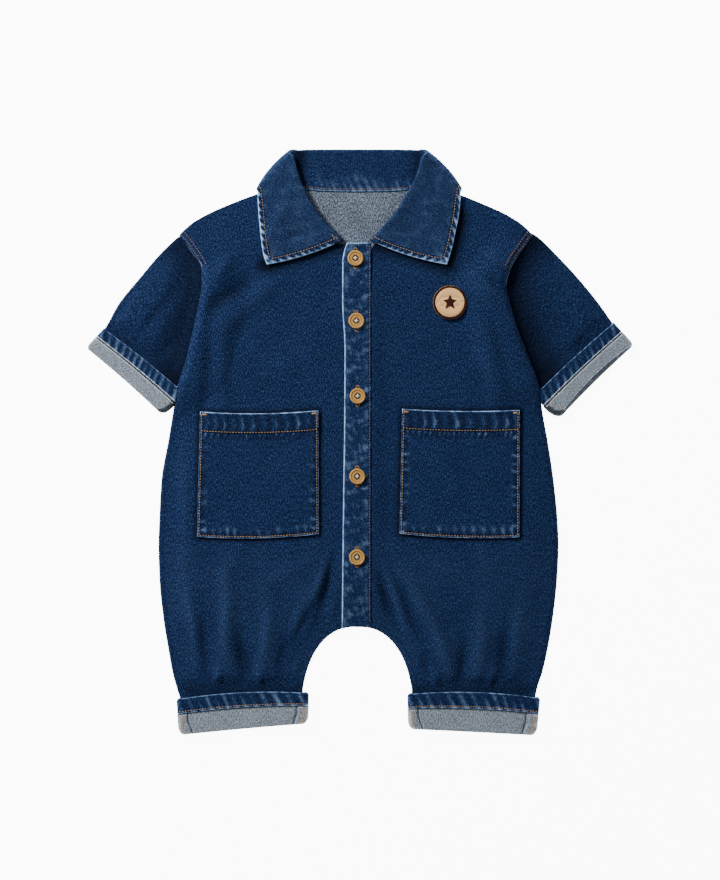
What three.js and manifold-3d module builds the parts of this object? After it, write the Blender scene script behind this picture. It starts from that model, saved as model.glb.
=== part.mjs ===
import * as THREE from "three";
import Module from "manifold-3d";
import { mergeVertices } from "three/addons/utils/BufferGeometryUtils.js";

// A short-sleeved baby romper of dark denim, buttoned up the front and laid flat on its back.
// Millimetres. +X runs to the wearer's left, +Y to the collar, +Z up out of the front. The origin is
// on the surface it lies on, under the middle. Right and left are the wearer's.

const wasm = await Module();
wasm.setup();

const PLY = 1.2;
const GAP = 0.3;
const LAYER = PLY + GAP;
const COLLAR_THICK = 2;
const HEM_THICK = 2;
const MIDDLE = -2.1;

// The two side edges, from the shoulder point down to inside the leg cuff.
const SIDE = [
  { y: 176.8, right: -153.6, left: 147.0 },
  { y: 164.0, right: -144.3, left: 137.5 },
  { y: 149.6, right: -134.5, left: 128.6 },
  { y: 134.3, right: -134.3, left: 124.3 },
  { y: 121.5, right: -136.2, left: 126.9 },
  { y: 96.0, right: -141.7, left: 134.5 },
  { y: 70.5, right: -147.7, left: 144.3 },
  { y: 46.8, right: -155.3, left: 152.6 },
  { y: 28.1, right: -158.7, left: 155.3 },
  { y: 2.5, right: -163.0, left: 160.0 },
  { y: -31.4, right: -168.9, left: 165.1 },
  { y: -65.5, right: -170.8, left: 168.5 },
  { y: -86.7, right: -171.5, left: 169.4 },
  { y: -116.5, right: -170.6, left: 168.1 },
  { y: -150.4, right: -167.2, left: 164.3 },
  { y: -175.9, right: -163.0, left: 160.0 },
  { y: -192.9, right: -160.0, left: 156.2 },
  { y: -209.9, right: -155.3, left: 150.7 },
  { y: -218.0, right: -152.8, left: 149.2 },
  { y: -245.0, right: -150.0, left: 146.0 },
];

// How far the shoulder seam bows up from the straight line between its ends, from shoulder to neck.
const SHOULDER_BOW = [
  { at: 0, rise: 0 },
  { at: 0.05, rise: 2.4 },
  { at: 0.16, rise: 5.6 },
  { at: 0.34, rise: 7.0 },
  { at: 0.58, rise: 6.4 },
  { at: 0.77, rise: 5.0 },
  { at: 0.9, rise: 2.5 },
  { at: 1, rise: 0 },
];

// The height of the shoulder seam by its distance from the middle, for the lie of the layers there.
const SHOULDER = [
  { out: 64, y: 216.2 },
  { out: 85, y: 212 },
  { out: 101, y: 206.5 },
  { out: 119, y: 198 },
  { out: 135, y: 189.5 },
  { out: 150.5, y: 176.8 },
];

// The collar, station by station from the front end round to the middle of the back. Each station has
// its turn round the shoulder fold in degrees (0 on the front, 180 under the back) and its neck seam,
// roll and outer edge, each as y, x on the right, x on the left. Bow bends the fall between its ends.
const COLLAR = [
  { turn: 0, seam: [169.6, -18.1, 12.1], roll: [171.7, -14.7, 8.7], edge: [151.3, -78.8, 73.9], bow: -2.4 },
  { turn: 0, seam: [175.1, -28.7, 23.2], roll: [180.6, -23.2, 18.1], edge: [158.1, -81.4, 76.3], bow: -0.6 },
  { turn: 0, seam: [181.0, -39.7, 33.4], roll: [187.8, -30.4, 24.4], edge: [167.4, -83.1, 78.8], bow: 0 },
  { turn: 0, seam: [190.4, -50.8, 45.3], roll: [197.6, -37.8, 32.5], edge: [180.2, -84.6, 81.6], bow: 0 },
  { turn: 0, seam: [201.4, -59.3, 54.6], roll: [209.9, -45.1, 39.7], edge: [192.9, -85.8, 84.0], bow: 0 },
  { turn: 0, seam: [208.0, -63.0, 58.8], roll: [222.0, -50.8, 46.6], edge: [202.0, -86.4, 85.0], bow: 0.5 },
  { turn: 0, seam: [211.8, -64.8, 60.9], roll: [235.5, -55.2, 51.6], edge: [208.5, -86.6, 85.4], bow: 1 },
  { turn: 0, seam: [214.5, -65.9, 62.2], roll: [243.5, -57.3, 54.2], edge: [212.0, -86.6, 85.5], bow: 1.5 },
  { turn: 90, seam: [217.3, -66.9, 63.6], roll: [247.8, -59.2, 56.4], edge: [215.8, -86.9, 86.0], bow: 2.4 },
  { turn: 180, seam: [217.2, -63.0, 60.0], roll: [248.5, -53.0, 50.2], edge: [211.5, -83.5, 82.6], bow: 1.5 },
  { turn: 180, seam: [216.4, -52.5, 49.5], roll: [248.8, -46.5, 43.6], edge: [205.0, -62.0, 60.0], bow: 0 },
  { turn: 180, seam: [214.2, -29.5, 26.6], roll: [249.0, -27.0, 24.0], edge: [202.7, -32.1, 29.1], bow: 0 },
  {
    turn: 180,
    seam: [213.8, MIDDLE, MIDDLE],
    roll: [249.0, MIDDLE, MIDDLE],
    edge: [202.3, MIDDLE, MIDDLE],
    bow: 0,
  },
];
const SHOULDER_FOLD = 8;
const SHOULDER_CLEARANCE = 1.4;
const FOLD_STEPS = 6;
const SEAM_HEIGHT = { middle: 4.4, swing: 1.1 };
const EDGE_HEIGHT = { middle: 4.45, swing: 3.45 };
const ROLL_RADIUS = 1.2;

// The arch between the legs is the top of an oval.
const ARCH = { y: -235, half: 47.8, rise: 78.6, power: 2.3 };
const LEG_END = { y: -236.5, out: 46.6 };

// The closure: the left front laps over the right one, and the placket is its folded edge.
const BUTTON_STAND_EDGE = 7;
const PLACKET = { thick: 2, right: 9.7, top: 170 };
const PLACKET_LEFT = [
  { y: 170.3, x: -10.8 },
  { y: 164.0, x: -13.0 },
  { y: 153.8, x: -14.8 },
  { y: 121.5, x: -14.9 },
  { y: 79.0, x: -12.9 },
  { y: 19.6, x: -13.2 },
  { y: -48.4, x: -14.1 },
  { y: -154.7, x: -15.3 },
];

// The rows of a panel below the neck: where each meets the side edge, and where the middle line.
const FRONT_ROWS = [
  { side: 121.5, middle: 166.6 },
  { side: 108, middle: 138 },
  { side: 96, middle: 112 },
  { side: 72, middle: 82 },
  { side: 46.8, middle: 52 },
  { side: 28.1, middle: 24 },
  { side: 2.5, middle: -4 },
  { side: -31.4, middle: -34 },
  { side: -65.5, middle: -66 },
  { side: -92, middle: -94 },
  { side: -116.5, middle: -120 },
  { side: -138, middle: -142 },
];
const BACK_ROWS = [{ side: 134.3, middle: 196 }, { side: 128, middle: 180 }, ...FRONT_ROWS];

// The rows beside the arch: where each meets the side edge, and how far from the middle on the arch.
const ARCH_ROWS = [
  { side: -150.4, out: 14.5 },
  { side: -158, out: 21 },
  { side: -166, out: 30 },
  { side: -175.9, out: 37 },
  { side: -185, out: 42 },
  { side: -198, out: 45.3 },
];

// The sleeves, from the armhole between front and back out to inside the cuff: the top fold, the
// underarm fold, and how far the line between them bows in towards the neck.
const SLEEVES = {
  right: [
    { top: [-141.0, 184.0], under: [-122.0, 74.0], bow: 12 },
    { top: [-155.8, 174.0], under: [-131.0, 68.0], bow: 7 },
    { top: [-170.0, 160.2], under: [-138.0, 63.0], bow: 3 },
    { top: [-187.1, 139.9], under: [-145.0, 58.5], bow: 0 },
    { top: [-204.1, 118.7], under: [-151.5, 54.5], bow: 0 },
    { top: [-216.2, 96.1], under: [-158.0, 49.8], bow: 0 },
    { top: [-228.9, 83.3], under: [-167.6, 30.6], bow: 0 },
  ],
  left: [
    { top: [136.0, 184.0], under: [117.0, 72.0], bow: -12 },
    { top: [149.5, 176.0], under: [127.0, 66.0], bow: -7 },
    { top: [170.4, 156.1], under: [135.0, 61.0], bow: -3 },
    { top: [187.5, 137.4], under: [142.0, 57.0], bow: 0 },
    { top: [204.4, 116.2], under: [149.0, 52.5], bow: 0 },
    { top: [214.6, 101.3], under: [155.0, 47.3], bow: 0 },
    { top: [228.6, 84.9], under: [169.9, 27.3], bow: 0 },
  ],
};
const SLEEVE_THICK = 2 * PLY + 0.5;

// The turned-up cuffs: the upper edge and the folded foot, each between two ends, and their bows.
const CUFFS = {
  sleeve_cuff_right: {
    top: [[-217.8, 97.3], [-156.2, 48.4]],
    foot: [[-231.8, 82.5], [-167.2, 27.2]],
    bows: [1, 1.5],
  },
  sleeve_cuff_left: {
    top: [[216.1, 102.4], [153.9, 45.6]],
    foot: [[232.3, 85.0], [169.4, 23.8]],
    bows: [-1, -1.5],
  },
  leg_cuff_right: {
    top: [[-155.6, -218.0], [-43.6, -212.6]],
    foot: [[-153.4, -247.4], [-44.6, -238.6]],
    bows: [3.4, 1],
  },
  leg_cuff_left: {
    top: [[40.8, -213.6], [153.2, -217.0]],
    foot: [[42.2, -242.6], [149.8, -248.2]],
    bows: [3.6, 0.4],
  },
};
const CUFF_DEPTHS = [
  { at: 0, hem: true },
  { at: 0.41, hem: true },
  { at: 0.44, hem: false },
  { at: 0.9, hem: false },
  { at: 1, hem: false },
];
const CUFF_FOOT_ROUND = 0.5;

// The patch pockets: corners from the upper right one round, and how far their edges sag.
const POCKETS = {
  pocket_right: {
    top: [[-135.8, 27.1], [-34.8, 28.1]],
    foot: [[-138.5, -79.9], [-34.3, -77.6]],
    sags: [2.1, 2.5],
  },
  pocket_left: {
    top: [[35.7, 29.4], [136.2, 28.5]],
    foot: [[33.4, -77.3], [135.8, -80.3]],
    sags: [1.5, 2.0],
  },
};
const POCKET_HEM = 0.165;

const BUTTON = { radius: 6.7, thick: 2.4, rim: 1.3, dish: 0.6, hole: 0.75, spread: 1.35 };
const BUTTONS = [
  { x: -3.6, y: 156.8 },
  { x: -2.8, y: 103.7 },
  { x: -1.8, y: 39.9 },
  { x: -2.1, y: -28.3 },
  { x: -2.3, y: -96.8 },
];
const BADGE = { x: 76.5, y: 119.3, radius: 14.5, thick: 1.4, clearance: 0.3 };

function cloth(color) {
  return new THREE.MeshStandardMaterial({ color, roughness: 0.9, metalness: 0 });
}

const denim = cloth(0x1a3560);
const denimInside = cloth(0xa8b2bf);
const embroidery = cloth(0xe0b988);
const wood = new THREE.MeshStandardMaterial({ color: 0xb98c4f, roughness: 0.45, metalness: 0 });

function ramp(from, to, value) {
  return THREE.MathUtils.smoothstep(value, Math.min(from, to), Math.max(from, to));
}

// A smooth curve through a table's points that never swings past them.
function through(table, across, up) {
  const rows = [...table].sort((a, b) => a[across] - b[across]);
  const x = rows.map((row) => row[across]);
  const y = rows.map((row) => row[up]);
  const slope = x.slice(1).map((value, i) => (y[i + 1] - y[i]) / (value - x[i]));
  const tangent = x.map((value, i) => {
    const before = slope[Math.max(i - 1, 0)];
    const after = slope[Math.min(i, slope.length - 1)];
    return before * after > 0 ? (2 * before * after) / (before + after) : 0;
  });
  return (value) => {
    const t = THREE.MathUtils.clamp(value, x[0], x[x.length - 1]);
    const i = Math.min(Math.max(x.findIndex((next) => next > t) - 1, 0), slope.length - 1);
    const last = t >= x[x.length - 1] ? slope.length - 1 : i;
    const width = x[last + 1] - x[last];
    const s = (t - x[last]) / width;
    const start = (1 + 2 * s) * (1 - s) ** 2 * y[last] + s * (1 - s) ** 2 * width * tangent[last];
    return start + s * s * (3 - 2 * s) * y[last + 1] + s * s * (s - 1) * width * tangent[last + 1];
  };
}

const sideEdge = { right: through(SIDE, "y", "right"), left: through(SIDE, "y", "left") };
const placketEdge = through(PLACKET_LEFT, "y", "x");
const shoulderRise = through(SHOULDER_BOW, "at", "rise");
const shoulderLine = through(SHOULDER, "out", "y");

function archHeight(out) {
  const across = Math.min(Math.abs(out) / ARCH.half, 1);
  return ARCH.y + ARCH.rise * (1 - across ** ARCH.power) ** (1 / ARCH.power);
}

function archDistance(x, y) {
  const across = Math.abs(x - MIDDLE) / ARCH.half;
  const up = Math.max(y - ARCH.y, 0) / ARCH.rise;
  return ((across ** ARCH.power + up ** ARCH.power) ** (1 / ARCH.power) - 1) * ARCH.half;
}

function sideDistance(x, y) {
  return Math.min(x - sideEdge.right(y), sideEdge.left(y) - x);
}

// The underside of the back: flat on the surface, but over the collar's fall, up at the shoulder
// seam, and inside the leg cuffs.
function backBase(x, y) {
  const out = Math.abs(x - MIDDLE);
  const overFall = (COLLAR_THICK + GAP) * ramp(178, 200, y) * (1 - ramp(86, 108, out));
  const nearSeam = 1 - ramp(0, 16, shoulderLine(out) - y);
  const atShoulder = (COLLAR_THICK + GAP) * nearSeam * (1 - ramp(98, 122, out));
  const inCuff = LAYER * (1 - ramp(-205, -190, y));
  return Math.max(overFall, atShoulder, inCuff);
}

// The underside of the fronts: on the back at every edge, lofted a little inside them, over the
// tucked sleeves at the sides, and up to the collar stand at the neck.
function frontBase(x, y) {
  const out = Math.abs(x - MIDDLE);
  const inward = sideDistance(x, y);
  const loft = 1.6 * ramp(0, 34, inward) * ramp(0, 24, archDistance(x, y)) * ramp(-204, -180, y);
  const overSleeve = 3.2 * ramp(22, 48, y) * (1 - ramp(30, 64, inward));
  const atNeck = ramp(125, 166, y) * (1 - ramp(90, 118, out));
  const stand = 3 - 0.7 * (1 - ramp(0, 12, shoulderLine(out) - y));
  const resting = backBase(x, y) + LAYER;
  return Math.max(resting, LAYER + Math.max(loft, overSleeve) * (1 - atNeck) + stand * atNeck);
}

// The left front rises to the placket's level beside it.
function leftFrontBase(x, y) {
  const step = LAYER - 0.8 * ramp(130, 152, y);
  return frontBase(x, y) + step * (1 - ramp(10, 26, x));
}

function solid(points, triangles, material, name) {
  let volume = 0;
  const [a, b, c] = [new THREE.Vector3(), new THREE.Vector3(), new THREE.Vector3()];
  for (const [i, j, k] of triangles) {
    a.fromArray(points[i]);
    b.fromArray(points[j]);
    c.fromArray(points[k]);
    volume += a.dot(b.cross(c));
  }
  const facing = volume < 0 ? triangles.map(([i, j, k]) => [i, k, j]) : triangles;
  const geometry = new THREE.BufferGeometry();
  geometry.setAttribute("position", new THREE.Float32BufferAttribute(points.flat(), 3));
  geometry.setIndex(facing.flat());
  geometry.computeVertexNormals();
  const mesh = new THREE.Mesh(geometry, material);
  mesh.name = name;
  return mesh;
}

// A cloth wall over a plan: grids of plan points are joined where they meet, and the wall stands
// between base(x, y) and base + thick.
function wall(name, material, grids, base, thick) {
  const plan = [];
  const known = new Map();
  const index = ([x, y]) => {
    const key = `${x.toFixed(3)},${y.toFixed(3)}`;
    if (!known.has(key)) {
      known.set(key, plan.length);
      plan.push([x, y]);
    }
    return known.get(key);
  };
  const faces = [];
  const addFace = (p, q, r) => {
    const [a, b, c] = [plan[p], plan[q], plan[r]];
    const area = (b[0] - a[0]) * (c[1] - a[1]) - (b[1] - a[1]) * (c[0] - a[0]);
    if (p === q || q === r || p === r) return;
    faces.push(area > 0 ? [p, q, r] : [p, r, q]);
  };
  for (const { grid } of grids) {
    for (let i = 0; i + 1 < grid.length; i++) {
      for (let j = 0; j + 1 < grid[i].length; j++) {
        const [a, b, c, d] = [grid[i][j], grid[i + 1][j], grid[i + 1][j + 1], grid[i][j + 1]].map(index);
        addFace(a, b, c);
        addFace(a, c, d);
      }
    }
  }
  const edges = new Map();
  for (const [p, q, r] of faces) {
    for (const [from, to] of [[p, q], [q, r], [r, p]]) {
      if (!edges.delete(`${to},${from}`)) edges.set(`${from},${to}`, [from, to]);
    }
  }
  const count = plan.length;
  const low = plan.map(([x, y]) => [x, y, base(x, y)]);
  const high = plan.map(([x, y], i) => [x, y, low[i][2] + thick(x, y)]);
  const triangles = faces.flatMap(([p, q, r]) => [[p, r, q], [p + count, q + count, r + count]]);
  for (const [from, to] of edges.values()) {
    triangles.push([from, to, to + count], [from, to + count, from + count]);
  }
  return solid([...low, ...high], triangles, material, name);
}

// A cloth wall between two grids of points in space, its rims closed, or closed on itself across.
function shell(name, material, outer, inner, cyclic) {
  const rows = outer.length;
  const columns = outer[0].length;
  const at = (side, i, j) => side * rows * columns + i * columns + (j % columns);
  const triangles = [];
  const face = (a, b, c, d) => triangles.push([a, b, c], [a, c, d]);
  const steps = cyclic ? columns : columns - 1;
  for (let j = 0; j < steps; j++) {
    for (let i = 0; i + 1 < rows; i++) {
      face(at(0, i, j), at(0, i + 1, j), at(0, i + 1, j + 1), at(0, i, j + 1));
      face(at(1, i, j), at(1, i, j + 1), at(1, i + 1, j + 1), at(1, i + 1, j));
    }
    face(at(0, 0, j), at(0, 0, j + 1), at(1, 0, j + 1), at(1, 0, j));
    face(at(0, rows - 1, j + 1), at(0, rows - 1, j), at(1, rows - 1, j), at(1, rows - 1, j + 1));
  }
  for (let i = 0; !cyclic && i + 1 < rows; i++) {
    face(at(0, i + 1, 0), at(0, i, 0), at(1, i, 0), at(1, i + 1, 0));
    face(at(0, i, steps), at(0, i + 1, steps), at(1, i + 1, steps), at(1, i, steps));
  }
  return solid([...outer.flat(), ...inner.flat()], triangles, material, name);
}

function mix(a, b, t) {
  return a.map((value, k) => value + (b[k] - value) * t);
}

// A panel's plan: rows from its side edge to its inner edge, the first along the shoulder seam.
const PANEL_COLUMNS = 8;
const SHOULDER_ROWS = 5;

function panelPlan(wearerSide, rows) {
  const side = sideEdge[wearerSide];
  const bowed = rows.map(({ side: y, inner }, i) => {
    const fade = Math.max(1 - i / SHOULDER_ROWS, 0) ** 2;
    return Array.from({ length: PANEL_COLUMNS + 1 }, (unused, j) => {
      const t = j / PANEL_COLUMNS;
      const [x, height] = mix([side(y), y], inner, t);
      return [x, height + fade * shoulderRise(t)];
    });
  });
  return { grid: bowed };
}

const column = { right: 1, left: 2 };
const outward = { right: -1, left: 1 };

// The neck edge of a panel is the collar's seam, set outside it by the seam gap.
function neckPoint(station, wearerSide) {
  const seam = COLLAR[station].seam;
  const onFront = COLLAR[station].turn === 0;
  const x = seam[column[wearerSide]];
  return onFront ? [x + 0.45 * outward[wearerSide], seam[0] - 0.4] : [x, seam[0] - 0.8];
}

function archRows(wearerSide) {
  const inside = ARCH_ROWS.map(({ side, out }) => ({
    side,
    inner: [MIDDLE + out * outward[wearerSide], archHeight(out)],
  }));
  const end = MIDDLE + LEG_END.out * outward[wearerSide];
  return [
    ...inside,
    { side: -209.9, inner: [end, -210] },
    { side: -218, inner: [end, -217] },
    { side: -244, inner: [end, LEG_END.y] },
  ];
}

const NECK_SIDES = [176.8, 170.4, 164, 157, 149.6, 142, 134.3];

function shoulderNeck(wearerSide) {
  const seam = COLLAR[SHOULDER_FOLD].seam;
  return [seam[column[wearerSide]], seam[0] - SHOULDER_CLEARANCE];
}

function frontPlan(wearerSide, edge) {
  const stations = [6, 4, 3, 2, 1, 0];
  const neck = [shoulderNeck(wearerSide), ...stations.map((station) => neckPoint(station, wearerSide))];
  const rows = neck.map((inner, i) => ({ side: NECK_SIDES[i], inner }));
  for (const { side, middle } of FRONT_ROWS) rows.push({ side, inner: [edge, middle] });
  rows.push({ side: -146, inner: [edge, archHeight(edge - MIDDLE)] });
  return panelPlan(wearerSide, [...rows, ...archRows(wearerSide)]);
}

function backPlan(wearerSide) {
  const seam = [9, 10, 11, 12].map((station) => neckPoint(station, wearerSide));
  const halfway = (i) => mix(seam[i], seam[i + 1], 0.5);
  const neck = [shoulderNeck(wearerSide), seam[0], seam[1], halfway(1), seam[2], halfway(2), seam[3]];
  const rows = neck.map((inner, i) => ({ side: NECK_SIDES[i] + 0.4 * i, inner }));
  for (const { side, middle } of BACK_ROWS) rows.push({ side, inner: [MIDDLE, middle] });
  rows.push({ side: -146, inner: [MIDDLE, archHeight(0)] });
  return panelPlan(wearerSide, [...rows, ...archRows(wearerSide)]);
}

// The collar's middle surface at one station: up the stand, round the roll and out along the fall.
const FALL_STEPS = 3;

function collarLine(turn, seam, roll, edge, bow, side) {
  const swing = Math.cos(THREE.MathUtils.degToRad(turn));
  const standing = Math.sin(THREE.MathUtils.degToRad(turn));
  const height = ({ middle, swing: reach }) => middle + reach * swing;
  const start = new THREE.Vector3(seam[0], seam[1], height(SEAM_HEIGHT));
  const end = new THREE.Vector3(edge[0], edge[1], height(EDGE_HEIGHT));
  const reach = EDGE_HEIGHT.swing - ROLL_RADIUS;
  const tip = new THREE.Vector3(roll[0], roll[1], EDGE_HEIGHT.middle + reach * swing);
  const back = start.clone().add(end).multiplyScalar(0.5).sub(tip).setZ(0).normalize();
  const apart = new THREE.Vector3(-0.9 * -outward[side] * standing, 0.43 * standing, swing).normalize();
  const centre = tip.clone().addScaledVector(back, ROLL_RADIUS);
  const bend = [-90, -45, 0, 45, 90].map((degrees) => {
    const angle = THREE.MathUtils.degToRad(degrees);
    const point = centre.clone().addScaledVector(apart, ROLL_RADIUS * Math.sin(angle));
    return point.addScaledVector(back, -ROLL_RADIUS * Math.cos(angle));
  });
  const foldTop = bend[bend.length - 1];
  const across = end.clone().sub(foldTop).setZ(0).normalize();
  const sideways = new THREE.Vector3(across.y * outward[side], -across.x * outward[side], 0);
  const fall = [];
  for (let k = 1; k <= FALL_STEPS; k++) {
    const t = k / FALL_STEPS;
    const point = foldTop.clone().lerp(end, t);
    fall.push(point.addScaledVector(sideways, -bow * 4 * t * (1 - t)));
  }
  return [start, start.clone().lerp(bend[0], 0.5), ...bend, ...fall];
}

// Round the shoulder the stations follow an oval from the last front one through the fold.
function collarStations(side) {
  const plan = (point) => [point[column[side]], point[0]];
  const lines = [];
  COLLAR.forEach(({ turn, seam, roll, edge, bow }, i) => {
    if (turn !== 90) lines.push(collarLine(turn, plan(seam), plan(roll), plan(edge), bow, side));
    if (i !== SHOULDER_FOLD - 1) return;
    const [front, fold, under] = [COLLAR[i], COLLAR[i + 1], COLLAR[i + 2]];
    for (let k = 1; k < FOLD_STEPS; k++) {
      const angle = (Math.PI * k) / FOLD_STEPS;
      const [keep, lean] = [(1 + Math.cos(angle)) / 2, Math.sin(angle)];
      const around = (name) => {
        const [a, b, c] = [front, fold, under].map((station) => plan(station[name]));
        return a.map((value, axis) => {
          const level = value * keep + c[axis] * (1 - keep);
          return level + (b[axis] - (value + c[axis]) / 2) * lean;
        });
      };
      const turned = 180 * (k / FOLD_STEPS);
      const bowed = front.bow + (fold.bow - front.bow) * lean;
      lines.push(collarLine(turned, around("seam"), around("roll"), around("edge"), bowed, side));
    }
  });
  return lines;
}

function collar() {
  const right = collarStations("right");
  const left = collarStations("left").slice(0, -1).reverse();
  const middle = [...right, ...left];
  const offset = (sign) => middle.map((line, i) => line.map((point, j) => {
    const along = middle[Math.min(i + 1, middle.length - 1)][j].clone().sub(middle[Math.max(i - 1, 0)][j]);
    const across = line[Math.min(j + 1, line.length - 1)].clone().sub(line[Math.max(j - 1, 0)]);
    const normal = along.cross(across).normalize();
    const moved = point.clone().addScaledVector(normal, (sign * COLLAR_THICK) / 2);
    return [moved.x, moved.y, Math.max(moved.z, 0)];
  }));
  return shell("collar", denim, offset(1), offset(-1), false);
}

// A tube pressed flat between two folded edges: one loop of points for each row.
const FACE_STEPS = 6;

function flatLoop({ from, to, bow, low, high, inset }) {
  const span = Math.hypot(to[0] - from[0], to[1] - from[1]);
  const along = [(to[0] - from[0]) / span, (to[1] - from[1]) / span];
  const half = (high - low) / 2;
  const place = (distance, z) => {
    const t = distance / span;
    const bulge = bow * 4 * t * (1 - t);
    const x = from[0] + along[0] * distance - along[1] * bulge;
    const y = from[1] + along[1] * distance + along[0] * bulge;
    return [x, y, z];
  };
  const spans = Array.from({ length: FACE_STEPS + 1 }, (unused, k) => {
    return inset + half + ((span - 2 * (inset + half)) * k) / FACE_STEPS;
  });
  const face = spans.map((distance) => place(distance, high));
  const under = [...spans].reverse().map((distance) => place(distance, low));
  return [...face, place(span - inset, low + half), ...under, place(inset, low + half)];
}

function sleeve(wearerSide) {
  const loops = (low, high, inset) => SLEEVES[wearerSide].map(({ top, under, bow }) => {
    return flatLoop({ from: top, to: under, bow, low, high, inset });
  });
  const outer = loops(LAYER, LAYER + SLEEVE_THICK, 0);
  const inner = loops(LAYER + PLY, LAYER + SLEEVE_THICK - PLY, PLY);
  return shell(`sleeve_${wearerSide}`, denim, outer, inner, true);
}

function cuffRing(name, { top, foot, bows }, inside) {
  const high = PLY + inside;
  const loops = (isOuter) => CUFF_DEPTHS.map(({ at, hem }) => {
    const round = at === 1 && isOuter ? CUFF_FOOT_ROUND : 0;
    const wallTop = high + (hem ? HEM_THICK : PLY);
    return flatLoop({
      from: mix(top[0], foot[0], at),
      to: mix(top[1], foot[1], at),
      bow: bows[0] + (bows[1] - bows[0]) * at,
      low: isOuter ? round : PLY,
      high: isOuter ? wallTop - round : high,
      inset: isOuter ? 0 : PLY,
    });
  });
  return shell(name, denimInside, loops(true), loops(false), true);
}

function pocket(name, { top, foot, sags }) {
  const base = name.endsWith("left") ? leftFrontBase : frontBase;
  const steps = 6;
  const rows = [0, POCKET_HEM, POCKET_HEM + 0.01, 0.35, 0.55, 0.75, 0.9, 1];
  const grid = rows.map((v) => Array.from({ length: steps + 1 }, (unused, k) => {
    const u = k / steps;
    const [x, y] = mix(mix(top[0], top[1], u), mix(foot[0], foot[1], u), v);
    return [x, y - (sags[0] + (sags[1] - sags[0]) * v) * 4 * u * (1 - u)];
  }));
  const hemLine = (x) => {
    const u = THREE.MathUtils.clamp((x - top[0][0]) / (top[1][0] - top[0][0]), 0, 1);
    const [, y] = mix(mix(top[0], top[1], u), mix(foot[0], foot[1], u), POCKET_HEM + 0.005);
    return y - sags[0] * 4 * u * (1 - u);
  };
  const thick = (x, y) => (y > hemLine(x) ? HEM_THICK : PLY);
  return wall(name, denim, [{ grid }], (x, y) => base(x, y) + LAYER, thick);
}

function placket() {
  const rows = 18;
  const grid = Array.from({ length: rows + 1 }, (unused, i) => [0, 0.35, 0.7, 1].map((u) => {
    const foot = archHeight(placketEdge(-154) + (PLACKET.right - placketEdge(-154)) * u - MIDDLE);
    const y = PLACKET.top + (foot - PLACKET.top) * (i / rows);
    return [placketEdge(y) + (PLACKET.right - placketEdge(y)) * u, y];
  }));
  return wall("placket", denim, [{ grid }], placketBase, () => PLACKET.thick);
}

function placketBase(x, y) {
  return frontBase(x, y) + LAYER;
}

function manifoldOf(geometry) {
  const bare = geometry.clone();
  bare.deleteAttribute("normal");
  bare.deleteAttribute("uv");
  const merged = mergeVertices(bare);
  const vertProperties = new Float32Array(merged.attributes.position.array);
  const triVerts = new Uint32Array(merged.index.array);
  return new wasm.Manifold(new wasm.Mesh({ numProp: 3, vertProperties, triVerts }));
}

// A turned button with a raised rim, a dished middle and four holes.
function buttonGeometry() {
  const { radius, thick, rim, dish, hole, spread } = BUTTON;
  const profile = [
    [0, 0],
    [radius - 0.7, 0],
    [radius, 0.7],
    [radius, thick - 0.6],
    [radius - 0.5, thick],
    [radius - rim, thick],
    [radius - rim - 0.7, thick - dish],
    [0, thick - dish],
  ].map(([r, z]) => new THREE.Vector2(r, z));
  const disc = manifoldOf(new THREE.LatheGeometry(profile, 20).rotateX(Math.PI / 2));
  const drill = manifoldOf(new THREE.CylinderGeometry(hole, hole, 3 * thick, 8).rotateX(Math.PI / 2));
  let drilled = disc;
  for (const [across, up] of [[1, 1], [-1, 1], [-1, -1], [1, -1]]) {
    drilled = drilled.subtract(drill.translate([across * spread, up * spread, 0]));
  }
  const mesh = drilled.getMesh();
  const geometry = new THREE.BufferGeometry();
  geometry.setAttribute("position", new THREE.BufferAttribute(mesh.vertProperties, 3));
  geometry.setIndex(new THREE.BufferAttribute(mesh.triVerts, 1));
  geometry.computeVertexNormals();
  return geometry;
}

function highestUnder(x, y, radius, surface) {
  const around = [0, 60, 120, 180, 240, 300].map((degrees) => {
    const angle = THREE.MathUtils.degToRad(degrees);
    return surface(x + radius * Math.cos(angle), y + radius * Math.sin(angle));
  });
  return Math.max(surface(x, y), ...around);
}

function badge() {
  const segments = 24;
  const grid = [0, 0.55, 1].map((share) => Array.from({ length: segments + 1 }, (unused, k) => {
    const angle = (2 * Math.PI * (k % segments)) / segments;
    const reach = BADGE.radius * share;
    return [BADGE.x + reach * Math.cos(angle), BADGE.y + reach * Math.sin(angle)];
  }));
  const base = (x, y) => leftFrontBase(x, y) + LAYER + BADGE.clearance;
  return wall("badge", embroidery, [{ grid }], base, () => BADGE.thick);
}

const romper = new THREE.Group();
const plainThick = () => PLY;

romper.add(wall("back", denim, [backPlan("right"), backPlan("left")], backBase, plainThick));
romper.add(wall("front_right", denim, [frontPlan("right", BUTTON_STAND_EDGE)], frontBase, plainThick));
romper.add(wall("front_left", denim, [frontPlan("left", PLACKET.right + GAP)], leftFrontBase, plainThick));
romper.add(placket());
romper.add(collar());
for (const wearerSide of ["right", "left"]) romper.add(sleeve(wearerSide));
for (const [name, cuff] of Object.entries(CUFFS)) {
  const inside = name.startsWith("sleeve") ? SLEEVE_THICK + 2 * GAP : 2 * LAYER + GAP;
  romper.add(cuffRing(name, cuff, inside));
}
for (const [name, shape] of Object.entries(POCKETS)) romper.add(pocket(name, shape));
BUTTONS.forEach(({ x, y }, i) => {
  const button = new THREE.Mesh(buttonGeometry(), wood);
  button.name = `button_${i + 1}`;
  const top = (px, py) => placketBase(px, py) + PLACKET.thick;
  button.position.set(x, y, highestUnder(x, y, BUTTON.radius, top) + GAP);
  romper.add(button);
});
romper.add(badge());

export default romper;
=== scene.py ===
import math

import bmesh
import bpy
import numpy as np
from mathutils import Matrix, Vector
from mathutils.bvhtree import BVHTree


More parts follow.
